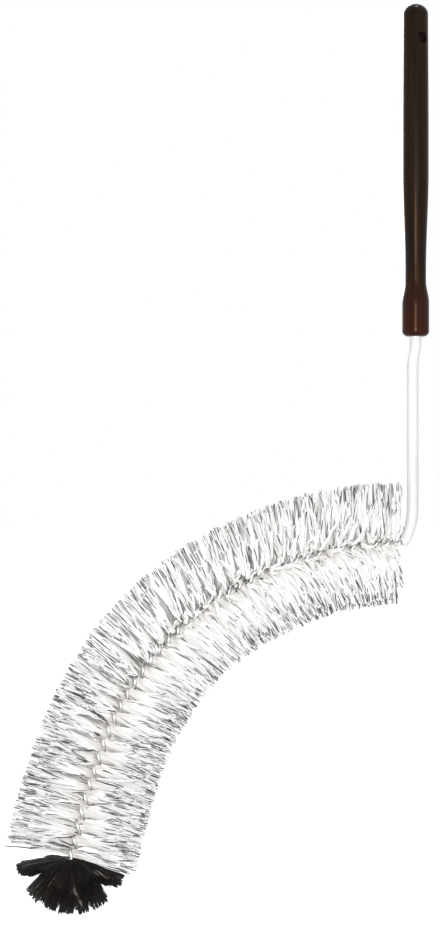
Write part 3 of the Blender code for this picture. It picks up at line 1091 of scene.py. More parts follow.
@dataclass
class CoreWire:
    """The one length of wire: down one leg, round the end loop and back up the other leg."""

    path: Centreline
    loop_leg: float = 0.003
    steps_per_turn: int = 28
    elbow_steps: int = 12
    loop_steps: int = 16
    sides: int = 14
    finish: MottledFinish = ZINC_WIRE

    def leg_distances(self) -> np.ndarray:
        """Distances of the wire's points from its top end to the start of its end loop.

        Returns:
            The distances, closer together where the twist is tighter.
        """
        path = self.path
        stem_count = math.ceil(path.elbow_start * self.steps_per_turn / path.stem_pitch)
        stem = np.linspace(0.0, path.elbow_start, stem_count, endpoint=False)
        elbow = np.linspace(path.elbow_start, path.head_start, self.elbow_steps, endpoint=False)
        turns = np.linspace(0.0, path.turns, path.turns * self.steps_per_turn + 1)
        return np.concatenate((stem, elbow, path.head_distance(turns)))

    def loop(self) -> np.ndarray:
        """Points of the end loop.

        Returns:
            The points, from the first leg to the second.
        """
        end = self.path.track(np.array([self.path.head_end]))
        centre = end.points[0] + end.along[0] * self.loop_leg
        angles = np.linspace(0.0, math.pi, self.loop_steps + 1)[:, None]
        swing = end.side[0] * np.cos(angles) + end.along[0] * np.sin(angles)
        return centre + swing * self.path.head_offset

    def build(self) -> bpy.types.Object:
        """Sweeps and dresses the wire.

        Returns:
            The piece.
        """
        distances = self.leg_distances()
        track = self.path.track(distances)
        twist = self.path.twist(distances)[:, None]
        to_leg = track.outward * np.cos(twist) + track.side * np.sin(twist)
        reach = to_leg * self.path.leg_offset(distances)[:, None]
        points = np.concatenate((track.points + reach, self.loop(), (track.points - reach)[::-1]))
        mesh = swept_mesh("wire_twist", points, self.path.wire_radius, self.sides)
        piece = add_object("wire_twist", mesh, self.finish.make("galvanised_wire"))
        return seat(piece, "core_wire")


# White head


@dataclass(frozen=True)
class TuftShade:
    """Painted shade deep between the tufts, most on the outer side of the head's near half."""

    far: Rise = Rise(0.62, 0.14)
    middle: Rise = Rise(0.24, 0.10)
    lengthening: Rise = Rise(0.26, 0.1)
    reach: float = 0.17
    reach_gain: float = 0.10
    outer: float = 0.86
    outer_middle_loss: float = 0.22
    outer_far_loss: float = 0.39
    inner: float = 0.03
    inner_far_gain: float = 0.17

    def along(self, outer: np.ndarray, share: np.ndarray, run: np.ndarray) -> np.ndarray:
        """How far painted shade darkens the hidden sides of the strands.

        Args:
            outer: Part of each lock's way that points to the head's outer side.
            share: Share of the head's length at each lock.
            run: Share of the strand's length at each point.

        Returns:
            The shade, by lock and point.
        """
        far = self.far.at(share)
        middle = self.middle.at(share)
        reach = self.reach + self.reach_gain * self.lengthening.at(share) * (1 - far)
        on_outer = self.outer - self.outer_middle_loss * middle - self.outer_far_loss * far
        most = np.where(outer > 0, on_outer, self.inner + self.inner_far_gain * far)
        return most[:, None] * (1 - eased(run / reach[:, None]))


@dataclass(frozen=True)
class Crimp:
    """Bow and crimp of the strands, with their heights in metres."""

    lock_bow: float = 0.0010
    strand_bow: float = 0.0004
    heights: Pair = (0.00008, 0.00030)
    waves: Pair = (1.6, 3.0)
    slip: float = 0.5
    onset: Rise = Rise(0.0, 0.2)

    def moves(
        self,
        rng: np.random.Generator,
        shape: tuple[int, int],
        ways: tuple[np.ndarray, np.ndarray],
        run: np.ndarray,
    ) -> np.ndarray:
        """Moves of the strands' points out of their straight lines.

        Args:
            rng: The turn's random numbers.
            shape: Locks, and strands in each.
            ways: The ways along the head and round it at each lock.
            run: Share of the strand's length at each point.

        Returns:
            Moves by lock, strand, point and axis.
        """
        one_each = (shape[0], 1, 1)
        per_strand = (*shape, 1)
        hump = 4 * run * (1 - run)
        moves = np.zeros((*shape, len(run), 3))
        for way in ways:
            bent = rng.normal(0.0, self.lock_bow, one_each)
            bent = bent + rng.normal(0.0, self.strand_bow, per_strand)
            height = rng.uniform(*self.heights, one_each)
            waves = rng.uniform(*self.waves, one_each)
            phase = rng.uniform(0.0, FULL_TURN, one_each) + rng.normal(0.0, self.slip, per_strand)
            wave = height * np.sin(FULL_TURN * waves * run + phase) * self.onset.at(run)
            moves += way[:, None, None] * (bent * hump + wave)[..., None]
        return moves


@dataclass(frozen=True)
class ShadeStreaks:
    """Tones of the white strands, from 0 for the darkest to 1 for the whitest.

    Most strands are white. Some have a dark streak of painted shade, near the rim, round a lock or in
    the seams between the tufts of one half turn and the next, and the outer side's strands get painted
    shade near their roots. Lengths and places along a strand are shares of its length.
    """

    far: Rise = Rise(0.58, 0.14)
    past_stem: Rise = Rise(0.24, 0.12)
    middle: Rise = Rise(0.24, 0.10)
    fade: Rise = Rise(0.7, 0.5)
    pale: Pair = (0.90, 1.0)
    depths: Pair = (0.82, 1.0)
    outer_chance: float = 0.14
    outer_calm: float = 0.6
    outer_far_gain: float = 0.03
    inner_chance: float = 0.15
    inner_calm: float = 0.95
    half_lengths: Pair = (0.08, 0.26)
    inner_shortening: float = 0.25
    outer_at_rim: float = 0.5
    inner_at_rim: float = 0.95
    inner_far_loss: float = 0.15
    off_rim: Pair = (0.7, 1.6)
    elsewhere: Pair = (0.1, 0.9)
    seam_from: float = 0.73
    outer_seam_chance: float = 0.22
    inner_seam_chance: float = 0.14
    seam_places: Pair = (0.35, 0.70)
    seam_gain: float = 0.16
    root_shade_depth: float = 0.35
    root_shade_reach: float = 0.2
    edge_from: float = 0.86
    edge_calm: float = 0.9
    outer_edges: float = 0.62
    outer_edge_loss: float = 0.27
    inner_edges: float = 0.50
    inner_edge_gain: float = 0.45
    edge_starts: Pair = (0.68, 0.90)
    edge_onset: float = 0.12
    edge_depths: Pair = (0.60, 0.95)
    lines: float = 0.10
    line_gain: float = 0.14
    line_places: Pair = (0.07, 0.36)
    line_half_length: float = 0.09
    line_depths: Pair = (0.80, 1.0)

    def tones(
        self,
        rng: np.random.Generator,
        outer: np.ndarray,
        share: np.ndarray,
        disc: np.ndarray,
        run: np.ndarray,
    ) -> np.ndarray:
        """Lays the tones of one turn.

        Args:
            rng: The turn's random numbers.
            outer: Part of each lock's way that points to the head's outer side.
            share: Share of the head's length at each lock.
            disc: How far each strand lies from its lock's middle, from 0 to 1.
            run: Share of the strand's length at each point.

        Returns:
            Tones by lock, strand and point.
        """
        outer = outer[:, None]
        share = share[:, None]
        pale = rng.uniform(*self.pale, disc.shape)[..., None]
        # The streaks, lock edges and seam lines are painted shade between and round the locks.
        dark = self._shade_streaks(rng, outer, share, disc.shape, run)
        dark = np.maximum(dark, self._edge_shade(rng, outer, share, disc, run))
        dark = np.maximum(dark, self._seam_shade_lines(rng, outer, share, disc.shape, run))
        # Painted shade near the roots of the strands on the outer side.
        at_root = np.clip(1 - run / self.root_shade_reach, 0.0, 1.0)
        root = self.root_shade_depth * np.clip(outer, 0.0, 1.0)[..., None] * at_root
        return np.clip(pale - dark - root, 0.0, 1.0)

    def _calm(self, outer: np.ndarray, share: np.ndarray) -> np.ndarray:
        """How calm the sideways locks of the head's near part are, from 0 to 1."""
        return (1 - outer**2) * (1 - self.far.at(share))

    def _shade_streaks(
        self,
        rng: np.random.Generator,
        outer: np.ndarray,
        share: np.ndarray,
        shape: tuple[int, int],
        run: np.ndarray,
    ) -> np.ndarray:
        """Streaks of painted shade, near the rim or in the wide seams of the head's far part.

        Args:
            rng: The turn's random numbers.
            outer: Part of each lock's way that points to the head's outer side.
            share: Share of the head's length at each lock.
            shape: Locks, and strands in each.
            run: Share of the strand's length at each point.

        Returns:
            Depths of the streaks by lock, strand and point.
        """
        far = self.far.at(share)
        calm = self._calm(outer, share)
        seam = (1 - outer**2) * far > self.seam_from
        pick = rng.uniform(0.0, 1.0, shape)
        outer_chance = self.outer_chance * (1 - self.outer_calm * calm) + self.outer_far_gain * far
        inner_chance = self.inner_chance * (1 - self.inner_calm * calm)
        seam_chance = np.where(outer > 0, self.outer_seam_chance, self.inner_seam_chance)
        chance = np.where(seam, seam_chance, np.where(outer > 0, outer_chance, inner_chance))
        depth = np.where(pick < chance, rng.uniform(*self.depths, shape), 0.0)
        shorter = 1 - self.inner_shortening * (1 - far)
        half = rng.uniform(*self.half_lengths, shape) * np.where(outer > 0, 1.0, shorter)
        inner_at_rim = self.inner_at_rim - self.inner_far_loss * far
        rim = rng.uniform(0.0, 1.0, shape) < np.where(outer > 0, self.outer_at_rim, inner_at_rim)
        by_rim = 1.0 - half * rng.uniform(*self.off_rim, shape)
        middle = np.where(rim, by_rim, rng.uniform(*self.elsewhere, shape))
        middle = np.where(seam, rng.uniform(*self.seam_places, shape), middle)
        half = np.where(seam, half + self.seam_gain, half)
        near = np.abs(run - middle[..., None]) / half[..., None]
        return depth[..., None] * (1 - self.fade.at(near))

    def _edge_shade(
        self,
        rng: np.random.Generator,
        outer: np.ndarray,
        share: np.ndarray,
        disc: np.ndarray,
        run: np.ndarray,
    ) -> np.ndarray:
        """Painted shade on the ends of the strands round a lock, which outlines its tip.

        Args:
            rng: The turn's random numbers.
            outer: Part of each lock's way that points to the head's outer side.
            share: Share of the head's length at each lock.
            disc: How far each strand lies from its lock's middle, from 0 to 1.
            run: Share of the strand's length at each point.

        Returns:
            Depths of the dark ends by lock, strand and point.
        """
        near_stem = 1 - self.past_stem.at(share)
        on_outer = self.outer_edges - self.outer_edge_loss * self.far.at(share)
        on_inner = self.inner_edges + self.inner_edge_gain * near_stem
        rate = np.where(outer > 0, on_outer, on_inner)
        rate = rate * (1 - self.edge_calm * self._calm(outer, share))
        edge = (disc > self.edge_from) & (rng.uniform(0.0, 1.0, disc.shape) < rate)
        start = rng.uniform(*self.edge_starts, disc.shape)[..., None]
        depth = np.where(edge, rng.uniform(*self.edge_depths, disc.shape), 0.0)[..., None]
        return depth * eased((run - start) / self.edge_onset)

    def _seam_shade_lines(
        self,
        rng: np.random.Generator,
        outer: np.ndarray,
        share: np.ndarray,
        shape: tuple[int, int],
        run: np.ndarray,
    ) -> np.ndarray:
        """Short lines of painted shade low on the outer side, between the tufts of the head's near
        part.

        Args:
            rng: The turn's random numbers.
            outer: Part of each lock's way that points to the head's outer side.
            share: Share of the head's length at each lock.
            shape: Locks, and strands in each.
            run: Share of the strand's length at each point.

        Returns:
            Depths of the lines by lock, strand and point.
        """
        rate = self.lines + self.line_gain * self.middle.at(share)
        rate = rate * (outer > 0) * (1 - self.far.at(share))
        parted = rng.uniform(0.0, 1.0, shape) < rate
        near = np.abs(run - rng.uniform(*self.line_places, shape)[..., None])
        depth = np.where(parted, rng.uniform(*self.line_depths, shape), 0.0)[..., None]
        return depth * (1 - self.fade.at(near / self.line_half_length))


@dataclass(frozen=True)
class Locks:
    """The locks of one turn, one row each: where they start, and which way and how far they go.

    Places are shares of the turn, and share is that of the head's length.
    """

    places: np.ndarray
    share: np.ndarray
    frame: Track
    radial: np.ndarray
    heading: np.ndarray
    reach: np.ndarray

    @property
    def outer(self) -> np.ndarray:
        """Part of each lock's way that points to the head's outer side."""
        return (self.radial * self.frame.outward).sum(axis=1)

    @property
    def side(self) -> np.ndarray:
        """Part of each lock's way that points square to the plane of the bend."""
        return (self.radial * self.frame.side).sum(axis=1)


@dataclass
class BristleHead:
    """The white bristles: locks of fine strands that leave the band between the wires.

    A lock is a few strands whose tips gather. Locks follow the band round the twist, lean towards
    the stem over the first half of the head, and those that leave it sideways droop to its inner side.
    """

    path: Centreline
    radius_at_stem: float = 0.0490
    radius_at_tip: float = 0.0540
    locks_per_side: int = 48
    place_swing: float = 0.3
    swing: float = math.radians(5.0)
    splay: float = math.radians(6.4)
    splay_swing: float = 0.12
    lean: float = math.radians(8.0)
    lean_rise: Rise = Rise(0.0, 0.12)
    lean_far: Rise = Rise(0.42, 0.28)
    far_inner_lean: float = math.radians(6.0)
    stem_end_lean: float = math.radians(-10.0)
    droop: float = math.radians(11.0)
    droop_fall: Rise = Rise(0.54, 0.24)
    parting: float = math.radians(26.0)
    parting_rise: Rise = Rise(0.46, 0.24)
    overhang: float = 0.001
    fan_room: float = 0.006
    stem_end_bulge: float = 0.0045
    longest: float = 1.01
    shortening: float = 0.035
    shortening_shape: Pair = (1.2, 3.0)
    lock_radius: float = 0.0021
    lock_sizes: Pair = (0.75, 1.2)
    lock_dome: float = 0.022
    lock_ragged: float = 0.012
    strands_per_lock: int = 10
    strand_radius: float = 0.00028
    strand_sizes: Pair = (0.8, 1.15)
    strand_taper: float = 0.25
    root_swing: float = 0.55
    band_half_thickness: float = 0.0005
    shade_streak_tone: float = 0.5
    shade_streak_swell: float = 1.85
    shade_streak_lift: float = 0.0008
    shade_streak_rise: Rise = Rise(0.0, 0.3)
    tilt_in_plane: float = math.radians(18.0)
    tilt_sideways: float = math.radians(48.0)
    tilt_rise: Rise = Rise(0.0, 0.5)
    evenness: float = 1.0
    steps: int = 9
    seed: int = 20
    crimp: Crimp = Crimp()
    shade_streaks: ShadeStreaks = ShadeStreaks()
    shade: TuftShade = TuftShade()
    finish: StrandFinish = WHITE_NYLON

    GOLDEN = (math.sqrt(5.0) - 1) / 2

    def reach_at(self, share: np.ndarray) -> np.ndarray:
        """Length of the strands from the centreline at shares of the head's length."""
        return self.radius_at_stem + (self.radius_at_tip - self.radius_at_stem) * share

    def lean_at(self, share: np.ndarray, sideways: np.ndarray, outer: np.ndarray) -> np.ndarray:
        """Lean towards the stem, which only the sideways strands keep in the head's far half.

        Args:
            share: Shares of the head's length.
            sideways: How far each lock points out of the plane of the bend, from 0 to 1.
            outer: Part of each lock's way that points to the head's outer side.

        Returns:
            The leans.
        """
        rise = self.lean_rise.at(share)
        far = self.lean_far.at(share)
        inner = np.clip(-outer, 0.0, 1.0)
        lean = self.lean * np.maximum(rise, sideways * (inner > 0)) * (1 - far * (1 - sideways))
        lean = lean + self.far_inner_lean * far * sideways * (inner > 0)
        return lean + self.stem_end_lean * (1 - rise) * inner**3

    def droop_at(self, share: np.ndarray) -> np.ndarray:
        """Droop of the sideways strands at shares of the head's length."""
        return self.droop * (1 - self.droop_fall.at(share))

    def locks(self, rng: np.random.Generator, index: int) -> Locks:
        """Places and aims the locks of one turn of the twist.

        Args:
            rng: The turn's random numbers.
            index: The turn, counted from the stem.

        Returns:
            The locks, those of the band's first edge before those of its second.
        """
        path = self.path
        per_side = self.locks_per_side
        count = per_side * len(BandSide)
        ways = np.repeat([side.value for side in BandSide], per_side)[:, None]
        places = (np.tile(np.arange(per_side), len(BandSide)) + 0.5) / per_side
        places = places + rng.uniform(-self.place_swing, self.place_swing, count) / per_side
        centres = path.head_distance(index + np.clip(places, 0.0, 1.0))
        frame = path.track(centres)
        share = (centres - path.head_start) / path.head_length
        azimuth = (path.twist(centres) + rng.normal(0.0, self.swing, count))[:, None]
        radial = (frame.side * np.cos(azimuth) - frame.outward * np.sin(azimuth)) * ways
        radial = self._parted(radial, frame, share)
        outer = (radial * frame.outward).sum(axis=1)
        sideways = (radial * frame.side).sum(axis=1) ** 2

        lean = self.splay * self._spread_out(rng, count)
        lean = self.lean_at(share, sideways, outer) + lean
        droop = self.droop_at(share) * sideways
        shorter = self.shortening * rng.beta(*self.shortening_shape, count)
        reach = self.reach_at(share) * (self.longest - shorter)
        since = centres - path.head_start + self.overhang
        left = path.head_length - since + 2 * self.overhang - self.fan_room * sideways
        since = since + self.stem_end_bulge * sideways * (outer < 0)
        slope = np.clip(np.tan(lean), -left / reach, since / reach)[:, None]
        heading = radial - frame.along * slope - frame.outward * np.tan(droop)[:, None]
        heading /= np.linalg.norm(heading, axis=1, keepdims=True)
        return Locks(places, share, frame, radial, heading, reach)

    def _parted(self, radial: np.ndarray, frame: Track, share: np.ndarray) -> np.ndarray:
        """Parts the sideways locks over the wire, more so in the further half of the head.

        Args:
            radial: The way out of the band at each lock.
            frame: The centreline at each lock.
            share: Share of the head's length at each lock.

        Returns:
            The ways after the parting.
        """
        outer = (radial * frame.outward).sum(axis=1)
        side = (radial * frame.side).sum(axis=1)
        angle = np.arctan2(np.abs(outer), np.abs(side))
        gap = self.parting * self.parting_rise.at(share)
        angle = gap + angle * (1 - gap / QUARTER_TURN)
        outer = np.copysign(np.sin(angle), outer)[:, None]
        side = np.copysign(np.cos(angle), side)[:, None]
        return frame.outward * outer + frame.side * side

    def _spread_out(self, rng: np.random.Generator, count: int) -> np.ndarray:
        """Values from -1 to 1 that neighbours share out evenly.

        Args:
            rng: The turn's random numbers.
            count: How many.

        Returns:
            The values.
        """
        steps = (np.arange(count) * self.GOLDEN + rng.uniform()) % 1.0
        return 2 * steps - 1 + rng.normal(0.0, self.splay_swing, count)

    def _roots(
        self, rng: np.random.Generator, index: int, places: np.ndarray, shape: tuple[int, int]
    ) -> np.ndarray:
        """Roots of the strands, in the band between the two legs of the wire.

        Args:
            rng: The turn's random numbers.
            index: The turn, counted from the stem.
            places: Share of the turn at each lock.
            shape: Locks, and strands in each.

        Returns:
            The roots by lock and strand.
        """
        moves = rng.uniform(-self.root_swing, self.root_swing, shape) / self.locks_per_side
        places = places[:, None] + moves
        distances = self.path.head_distance(index + np.clip(places, 0.0, 1.0)).ravel()
        track = self.path.track(distances)
        twist = self.path.twist(distances)[:, None]
        to_leg = track.outward * np.cos(twist) + track.side * np.sin(twist)
        layer = rng.uniform(-1.0, 1.0, shape).ravel()[:, None] * self.band_half_thickness
        return (track.points + to_leg * layer).reshape(*shape, 3)

    def strands(self, index: int) -> StrandBatch:
        """Lays the strands of one turn of the twist.

        Args:
            index: The turn, counted from the stem.

        Returns:
            The strands.
        """
        rng = np.random.default_rng(self.seed + index)
        locks = self.locks(rng, index)
        frame = locks.frame
        tangent = np.cross(frame.along, locks.radial)
        shape = (len(locks.places), self.strands_per_lock)

        disc = np.sqrt(rng.uniform(0.0, 1.0, shape))
        around = rng.uniform(0.0, FULL_TURN, shape)
        lock_radius = self.lock_radius * rng.uniform(*self.lock_sizes, shape[0])
        trim = 1 - self.lock_dome * disc**2 - self.lock_ragged * rng.uniform(0.0, 1.0, shape)
        start = self._roots(rng, index, locks.places, shape)
        along = frame.along[:, None] * (disc * np.cos(around))[..., None]
        spread = along + tangent[:, None] * (disc * np.sin(around))[..., None]
        end = frame.points[:, None] + locks.heading[:, None] * (locks.reach[:, None] * trim)[..., None]
        end = end + spread * lock_radius[:, None, None]

        run = np.linspace(0.0, 1.0, self.steps)
        path = start[:, :, None] + (end - start)[:, :, None] * run[:, None]
        path = path + self.crimp.moves(rng, shape, (frame.along, tangent), run)
        radii = self.strand_radius * rng.uniform(*self.strand_sizes, shape)[..., None]
        radii = radii * (1 - self.strand_taper * run)
        # Tones with painted shade; strands with a streak of painted shade are made thicker and lifted.
        tones = self.shade_streaks.tones(rng, locks.outer, locks.share, disc, run)
        shade_streaked = tones.min(axis=2) < self.shade_streak_tone
        radii = radii * np.where(shade_streaked, self.shade_streak_swell, 1.0)[..., None]
        lift = frame.side * np.sign(locks.side)[:, None] * self.shade_streak_lift
        raised = shade_streaked[..., None] * self.shade_streak_rise.at(run)
        path = path + lift[:, None, None] * raised[..., None]
        more = (self.tilt_sideways - self.tilt_in_plane) * locks.side[:, None] ** 2
        tilts = (self.tilt_in_plane + more) * self.tilt_rise.at(run)
        # Painted shade deep between the tufts, laid on the strands' hidden sides.
        shades = self.shade.along(locks.outer, locks.share, run)
        return StrandBatch(
            path.reshape(-1, self.steps, 3),
            radii.reshape(-1, self.steps),
            tones.reshape(-1, self.steps),
            tilts=np.repeat(tilts, self.strands_per_lock, axis=0),
            evenness=self.evenness,
            inner_shade=np.repeat(shades, self.strands_per_lock, axis=0),
        )

    def build(self) -> list[bpy.types.Object]:
        """Builds and dresses every turn.

        Returns:
            The pieces, from the stem to the tip.
        """
        pieces = []
        for index in range(self.path.turns):
            name = f"nylon_turn_{index + 1:02d}"
            finish = self.finish.make(f"white_nylon_{index + 1:02d}")
            piece = add_object(name, self.strands(index).mesh(name), finish)
            pieces.append(seat(piece, f"bristle_turn_{index + 1:02d}"))
        return pieces


# Black tip


@dataclass(frozen=True)
class Clump:
    """One clump of the tip's fan, with its angles in degrees: from the outer side, and in depth."""

    angle: float
    reach: float
    half_width: float
    tilt: float = 0.0
    worn: float = 0.0
    root: float = 0.0044
    lift: float = 0.0040


@dataclass(frozen=True)
class HighlightLine:
    """A painted highlight, a pale line down the fan, with its angle in degrees at its near and far
    ends.
    """

    near_angle: float
    far_angle: float
    near: float
    far: float
    half_width: float
    tone: float


@dataclass
class TipFan:
    """The coarse dark tuft that the wire's end loop pinches, spread in clumps all round the tip."""

    path: Centreline
    clumps: tuple[Clump, ...] = (
        Clump(17.5, 0.0428, 0.0037, root=0.0028, lift=0.0012),
        Clump(51.5, 0.0410, 0.0066, worn=0.5, root=0.0036),
        Clump(77.0, 0.0402, 0.0052),
        Clump(96.5, 0.0402, 0.0060),
        Clump(117.0, 0.0412, 0.0043, worn=0.25),
        Clump(138.0, 0.0420, 0.0070),
        Clump(173.5, 0.0440, 0.0042),
    )
    # Painted highlights: pale lines down the fan.
    lines: tuple[HighlightLine, ...] = (
        HighlightLine(119.5, 120.5, 0.0150, 0.0340, 0.0010, 0.98),
        HighlightLine(185.0, 178.0, 0.0200, 0.0285, 0.0008, 0.95),
        HighlightLine(178.0, 177.0, 0.0285, 0.0420, 0.0006, 0.82),
    )
    rows: tuple[float, ...] = (-60.0, -38.0, -18.0, 0.0, 18.0, 38.0, 60.0)
    row_swing: float = 4.0
    row_reach: Pair = (0.92, 0.99)
    strands_per_clump: int = 80
    strand_radius: float = 0.00036
    strand_sizes: Pair = (0.8, 1.2)
    strand_taper: float = 0.15
    ragged: float = 0.05
    hub_depth: float = 0.0052
    hub_half_width: float = 0.0110
    hub_narrowing: float = 0.75
    hub_half_depth: float = 0.008
    lift_sizes: Pair = (0.2, 1.3)
    pinch_half_depth: float = 0.0011
    pinch_spread: float = 0.0050
    pinch_half_height: float = 0.0012
    pinch_rise: float = 0.0018
    tone: float = 0.26
    tone_swing: float = 0.11
    palest: float = 0.46
    worn_tones: Pair = (0.3, 0.6)
    worn_end: Rise = Rise(0.7, 0.25)
    steps: int = 9
    seed: int = 7
    finish: StrandFinish = BLACK_FIBRE

    def aims(self, rng: np.random.Generator) -> list[Clump]:
        """Aims the clumps of every row.

        Args:
            rng: The tuft's random numbers.

        Returns:
            The clumps, each tilted with its row.
        """
        aims = []
        for row in self.rows:
            for clump in self.clumps:
                turn = rng.uniform(-self.row_swing, self.row_swing) if row else 0.0
                reach = clump.reach * (rng.uniform(*self.row_reach) if row else 1.0)
                aims.append(replace(clump, angle=clump.angle + turn, reach=reach, tilt=row))
        return aims

    def strands(self) -> StrandBatch:
        """Lays the strands, which fold over the loop and then run out to their clumps' ends.

        Returns:
            The strands.
        """
        rng = np.random.default_rng(self.seed)
        end = self.path.track(np.array([self.path.head_end]))
        hub = end.points[0] + end.along[0] * self.hub_depth
        run = np.linspace(0.0, 1.0, self.steps)
        laid = [self._clump(rng, clump, end, hub, run) for clump in self.aims(rng)]
        points = np.concatenate([places for places, _ in laid])
        worn = np.concatenate([paleness for _, paleness in laid])
        total = len(points)
        radii = self.strand_radius * rng.uniform(*self.strand_sizes, (total, 1))
        radii = radii * (1 - self.strand_taper * run)
        tones = np.clip(rng.normal(self.tone, self.tone_swing, (total, 1)), 0.0, self.palest)
        tones = tones + worn * self.worn_end.at(run)
        flat = points - hub
        # Painted highlights drawn into the tones.
        tones = self._lined(tones, flat @ end.outward[0], flat @ end.along[0])
        return StrandBatch(points, radii, tones)

    def _clump(
        self,
        rng: np.random.Generator,
        clump: Clump,
        end: Track,
        hub: np.ndarray,
        run: np.ndarray,
    ) -> tuple[np.ndarray, np.ndarray]:
        """Lays the strands of one clump.

        Args:
            rng: The tuft's random numbers.
            clump: The clump.
            end: The centreline where the head ends.
            hub: The point that the clumps spread from.
            run: Share of the strand's length at each point.

        Returns:
            Places by strand and point, and how much paler each strand's tip is.
        """
        left, down, side = end.outward[0], end.along[0], end.side[0]
        angle = math.radians(clump.angle)
        tilt = math.radians(clump.tilt)
        flat = left * math.cos(angle) + down * math.sin(angle)
        way = flat * math.cos(tilt) + side * math.sin(tilt)
        across = down * math.cos(angle) - left * math.sin(angle)
        deep = side * math.cos(tilt) - flat * math.sin(tilt)
        one_each = (self.strands_per_clump, 1)
        a = rng.uniform(-1.0, 1.0, one_each)
        b = rng.uniform(-1.0, 1.0, one_each)
        off = across * a + deep * b
        reach = clump.reach * (1 - self.ragged * rng.uniform(0.0, 1.0, one_each))
        tips = hub + way * reach + off * clump.half_width
        fold = abs(math.cos(angle)) * math.cos(tilt)
        width = math.copysign(self.hub_half_width, math.cos(angle))
        knee = hub + left * width * (1 - self.hub_narrowing * (1 - fold))
        knee = knee - down * clump.lift * fold * rng.uniform(*self.lift_sizes, one_each)
        knee = knee + off * clump.root + side * math.sin(tilt) * self.hub_half_depth
        depth = rng.uniform(-self.pinch_half_depth, self.pinch_half_depth, one_each)
        start = hub + side * (depth + self.pinch_spread * math.sin(tilt))
        height = rng.uniform(-self.pinch_half_height, self.pinch_half_height, one_each)
        start = start + down * (height - self.pinch_rise)
        first = start[:, None] + (knee - start)[:, None] * run[:, None]
        second = knee[:, None] + (tips - knee)[:, None] * run[:, None]
        picked = rng.uniform(0.0, 1.0, one_each) < clump.worn
        worn = np.where(picked, rng.uniform(*self.worn_tones, one_each), 0.0)
        return first + (second - first) * run[:, None], worn

    def _lined(self, tones: np.ndarray, to_left: np.ndarray, to_end: np.ndarray) -> np.ndarray:
        """Draws the painted highlight lines into the strands' tones.

        Args:
            tones: Tones by strand and point.
            to_left: How far each point lies to the head's outer side of the hub.
            to_end: How far each point lies beyond the hub.

        Returns:
            The tones with the lines.
        """
        out = np.hypot(to_left, to_end)
        angle = np.degrees(np.arctan2(to_end, to_left)) % 360.0
        for line in self.lines:
            share = np.clip((out - line.near) / (line.far - line.near), 0.0, 1.0)
            middle = line.near_angle + (line.far_angle - line.near_angle) * share
            away = np.abs(np.radians(angle - middle)) * out / line.half_width
            within = (away < 1.0) & (out > line.near) & (out < line.far)
            tones = np.where(within, line.tone, tones)
        return np.clip(tones, 0.0, 1.0)

    def build(self) -> bpy.types.Object:
        """Builds and dresses the tuft.

        Returns:
            The piece.
        """
        mesh = self.strands().mesh("black_tuft")
        piece = add_object("black_tuft", mesh, self.finish.make("black_fibre"))
        return seat(piece, "tip_fan")


# Studio


@dataclass(frozen=True)
class Lamp:
    """A soft lamp: where it stands, its width and height, and its power in watts."""

    name: str
    place: Place
    size: Pair
    power: float


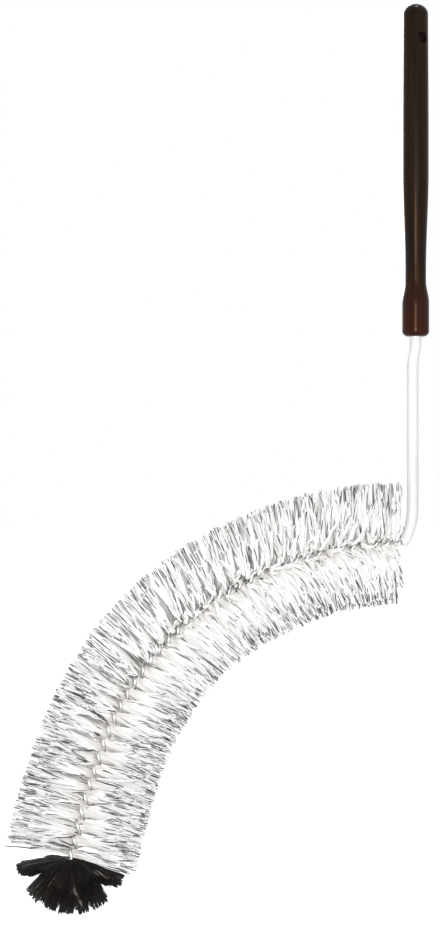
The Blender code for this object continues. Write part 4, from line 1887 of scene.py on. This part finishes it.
@dataclass
class Studio:
    """A pale floor, a white surround, soft lamps and the camera at the photograph's angle."""

    centre: Pair = (-0.1536, -0.3328)
    frame_height: float = 0.7269
    lens: float = 100.0
    sensor: float = 36.0
    ambient: float = 0.35
    lamps: tuple[Lamp, ...] = (
        Lamp("front_softbox", (-0.1536, -2.06, -0.3328), (0.16, 0.16), 30.0),
        Lamp("side_strip", (0.57, -2.00, 0.04), (0.03, 0.26), 1.2),
        Lamp("back_softbox", (-0.60, 2.4, 0.60), (1.2, 1.2), 32.0),
        Lamp("overhead_softbox", (0.12, 0.15, 1.60), (0.16, 0.16), 9.0),
    )
    floor_height: float = -0.70
    floor_half_width: float = 12.0
    floor_colour: Colour = (0.90, 0.90, 0.90)
    floor_roughness: float = 0.9
    floor_specular: float = 0.1
    floor_glow: float = 0.74

    def camera(self) -> None:
        """Adds the camera, level and square to the plane of the bend."""
        data = bpy.data.cameras.new("studio_camera")
        data.lens = self.lens
        data.sensor_width = self.sensor
        camera = add_object("studio_camera", data)
        distance = self.frame_height * self.lens / self.sensor
        camera.location = (self.centre[0], -distance, self.centre[1])
        camera.rotation_euler = (QUARTER_TURN, 0.0, 0.0)
        bpy.context.scene.camera = camera

    def light(self, lamp: Lamp) -> None:
        """Adds a lamp that faces the brush.

        Args:
            lamp: The lamp.
        """
        data = bpy.data.lights.new(lamp.name, "AREA")
        data.shape = "RECTANGLE"
        data.size, data.size_y = lamp.size
        data.energy = lamp.power
        made = add_object(lamp.name, data)
        made.location = lamp.place
        aim = Vector((self.centre[0], 0.0, self.centre[1])) - Vector(lamp.place)
        made.rotation_euler = aim.to_track_quat("-Z", "Y").to_euler()

    def surround(self) -> None:
        """Makes the world white to the camera and in reflections, and a plain level as light."""
        world = bpy.data.worlds.new("white_surround")
        bpy.context.scene.world = world
        world.use_nodes = True
        nodes, links = world.node_tree.nodes, world.node_tree.links
        light = nodes["Background"]
        seen = nodes.new("ShaderNodeBackground")
        for background, strength in ((light, self.ambient), (seen, 1.0)):
            background.inputs["Color"].default_value = (*WHITE, 1.0)
            background.inputs["Strength"].default_value = strength
        rays = nodes.new("ShaderNodeLightPath")
        shown = rays.outputs["Is Camera Ray"]
        for kind in ("Is Glossy Ray", "Is Transmission Ray"):
            either = nodes.new("ShaderNodeMath")
            either.operation = "MAXIMUM"
            links.new(shown, either.inputs[0])
            links.new(rays.outputs[kind], either.inputs[1])
            shown = either.outputs[0]
        mix = nodes.new("ShaderNodeMixShader")
        for place, source in enumerate((shown, light.outputs[0], seen.outputs[0])):
            links.new(source, mix.inputs[place])
        links.new(mix.outputs[0], nodes["World Output"].inputs["Surface"])

    def floor(self) -> None:
        """Lays the pale floor, which keeps the brush's shadow and is white where none falls."""
        mesh = bpy.data.meshes.new("studio_floor")
        half = self.floor_half_width
        corners = [(-half, -half, 0.0), (half, -half, 0.0), (half, half, 0.0), (-half, half, 0.0)]
        mesh.from_pydata(corners, [], [(0, 1, 2, 3)])
        finish = Finish("pale_floor")
        finish.constant("Base Color", self.floor_colour)
        finish.constant("Roughness", self.floor_roughness)
        finish.constant("Specular IOR Level", self.floor_specular)
        finish.constant("Emission Color", WHITE)
        rays = finish.node("ShaderNodeLightPath")
        glow = finish.node("ShaderNodeMath", Value=rays.outputs["Is Camera Ray"])
        glow.operation = "MULTIPLY"
        glow.inputs[1].default_value = self.floor_glow
        finish.wire("Emission Strength", glow.outputs[0])
        floor = add_object("studio_floor", mesh, finish.material)
        floor.location.z = self.floor_height

    def build(self) -> None:
        """Sets up the whole studio."""
        self.camera()
        self.surround()
        self.floor()
        for lamp in self.lamps:
            self.light(lamp)
        bpy.context.scene.view_settings.view_transform = "Standard"


def main() -> None:
    """Builds the brush on its frame, and then the studio round it."""
    logging.basicConfig(level=logging.INFO, format="%(message)s")
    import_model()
    path = Centreline()
    pieces = [
        Handle().build(),
        StemSleeve(path).build(),
        CoreWire(path).build(),
        *BristleHead(path).build(),
        TipFan(path).build(),
    ]
    for piece in pieces:
        log.info("%s: %d faces", piece.name, len(piece.data.polygons))
    Studio().build()


if __name__ == "__main__":
    main()
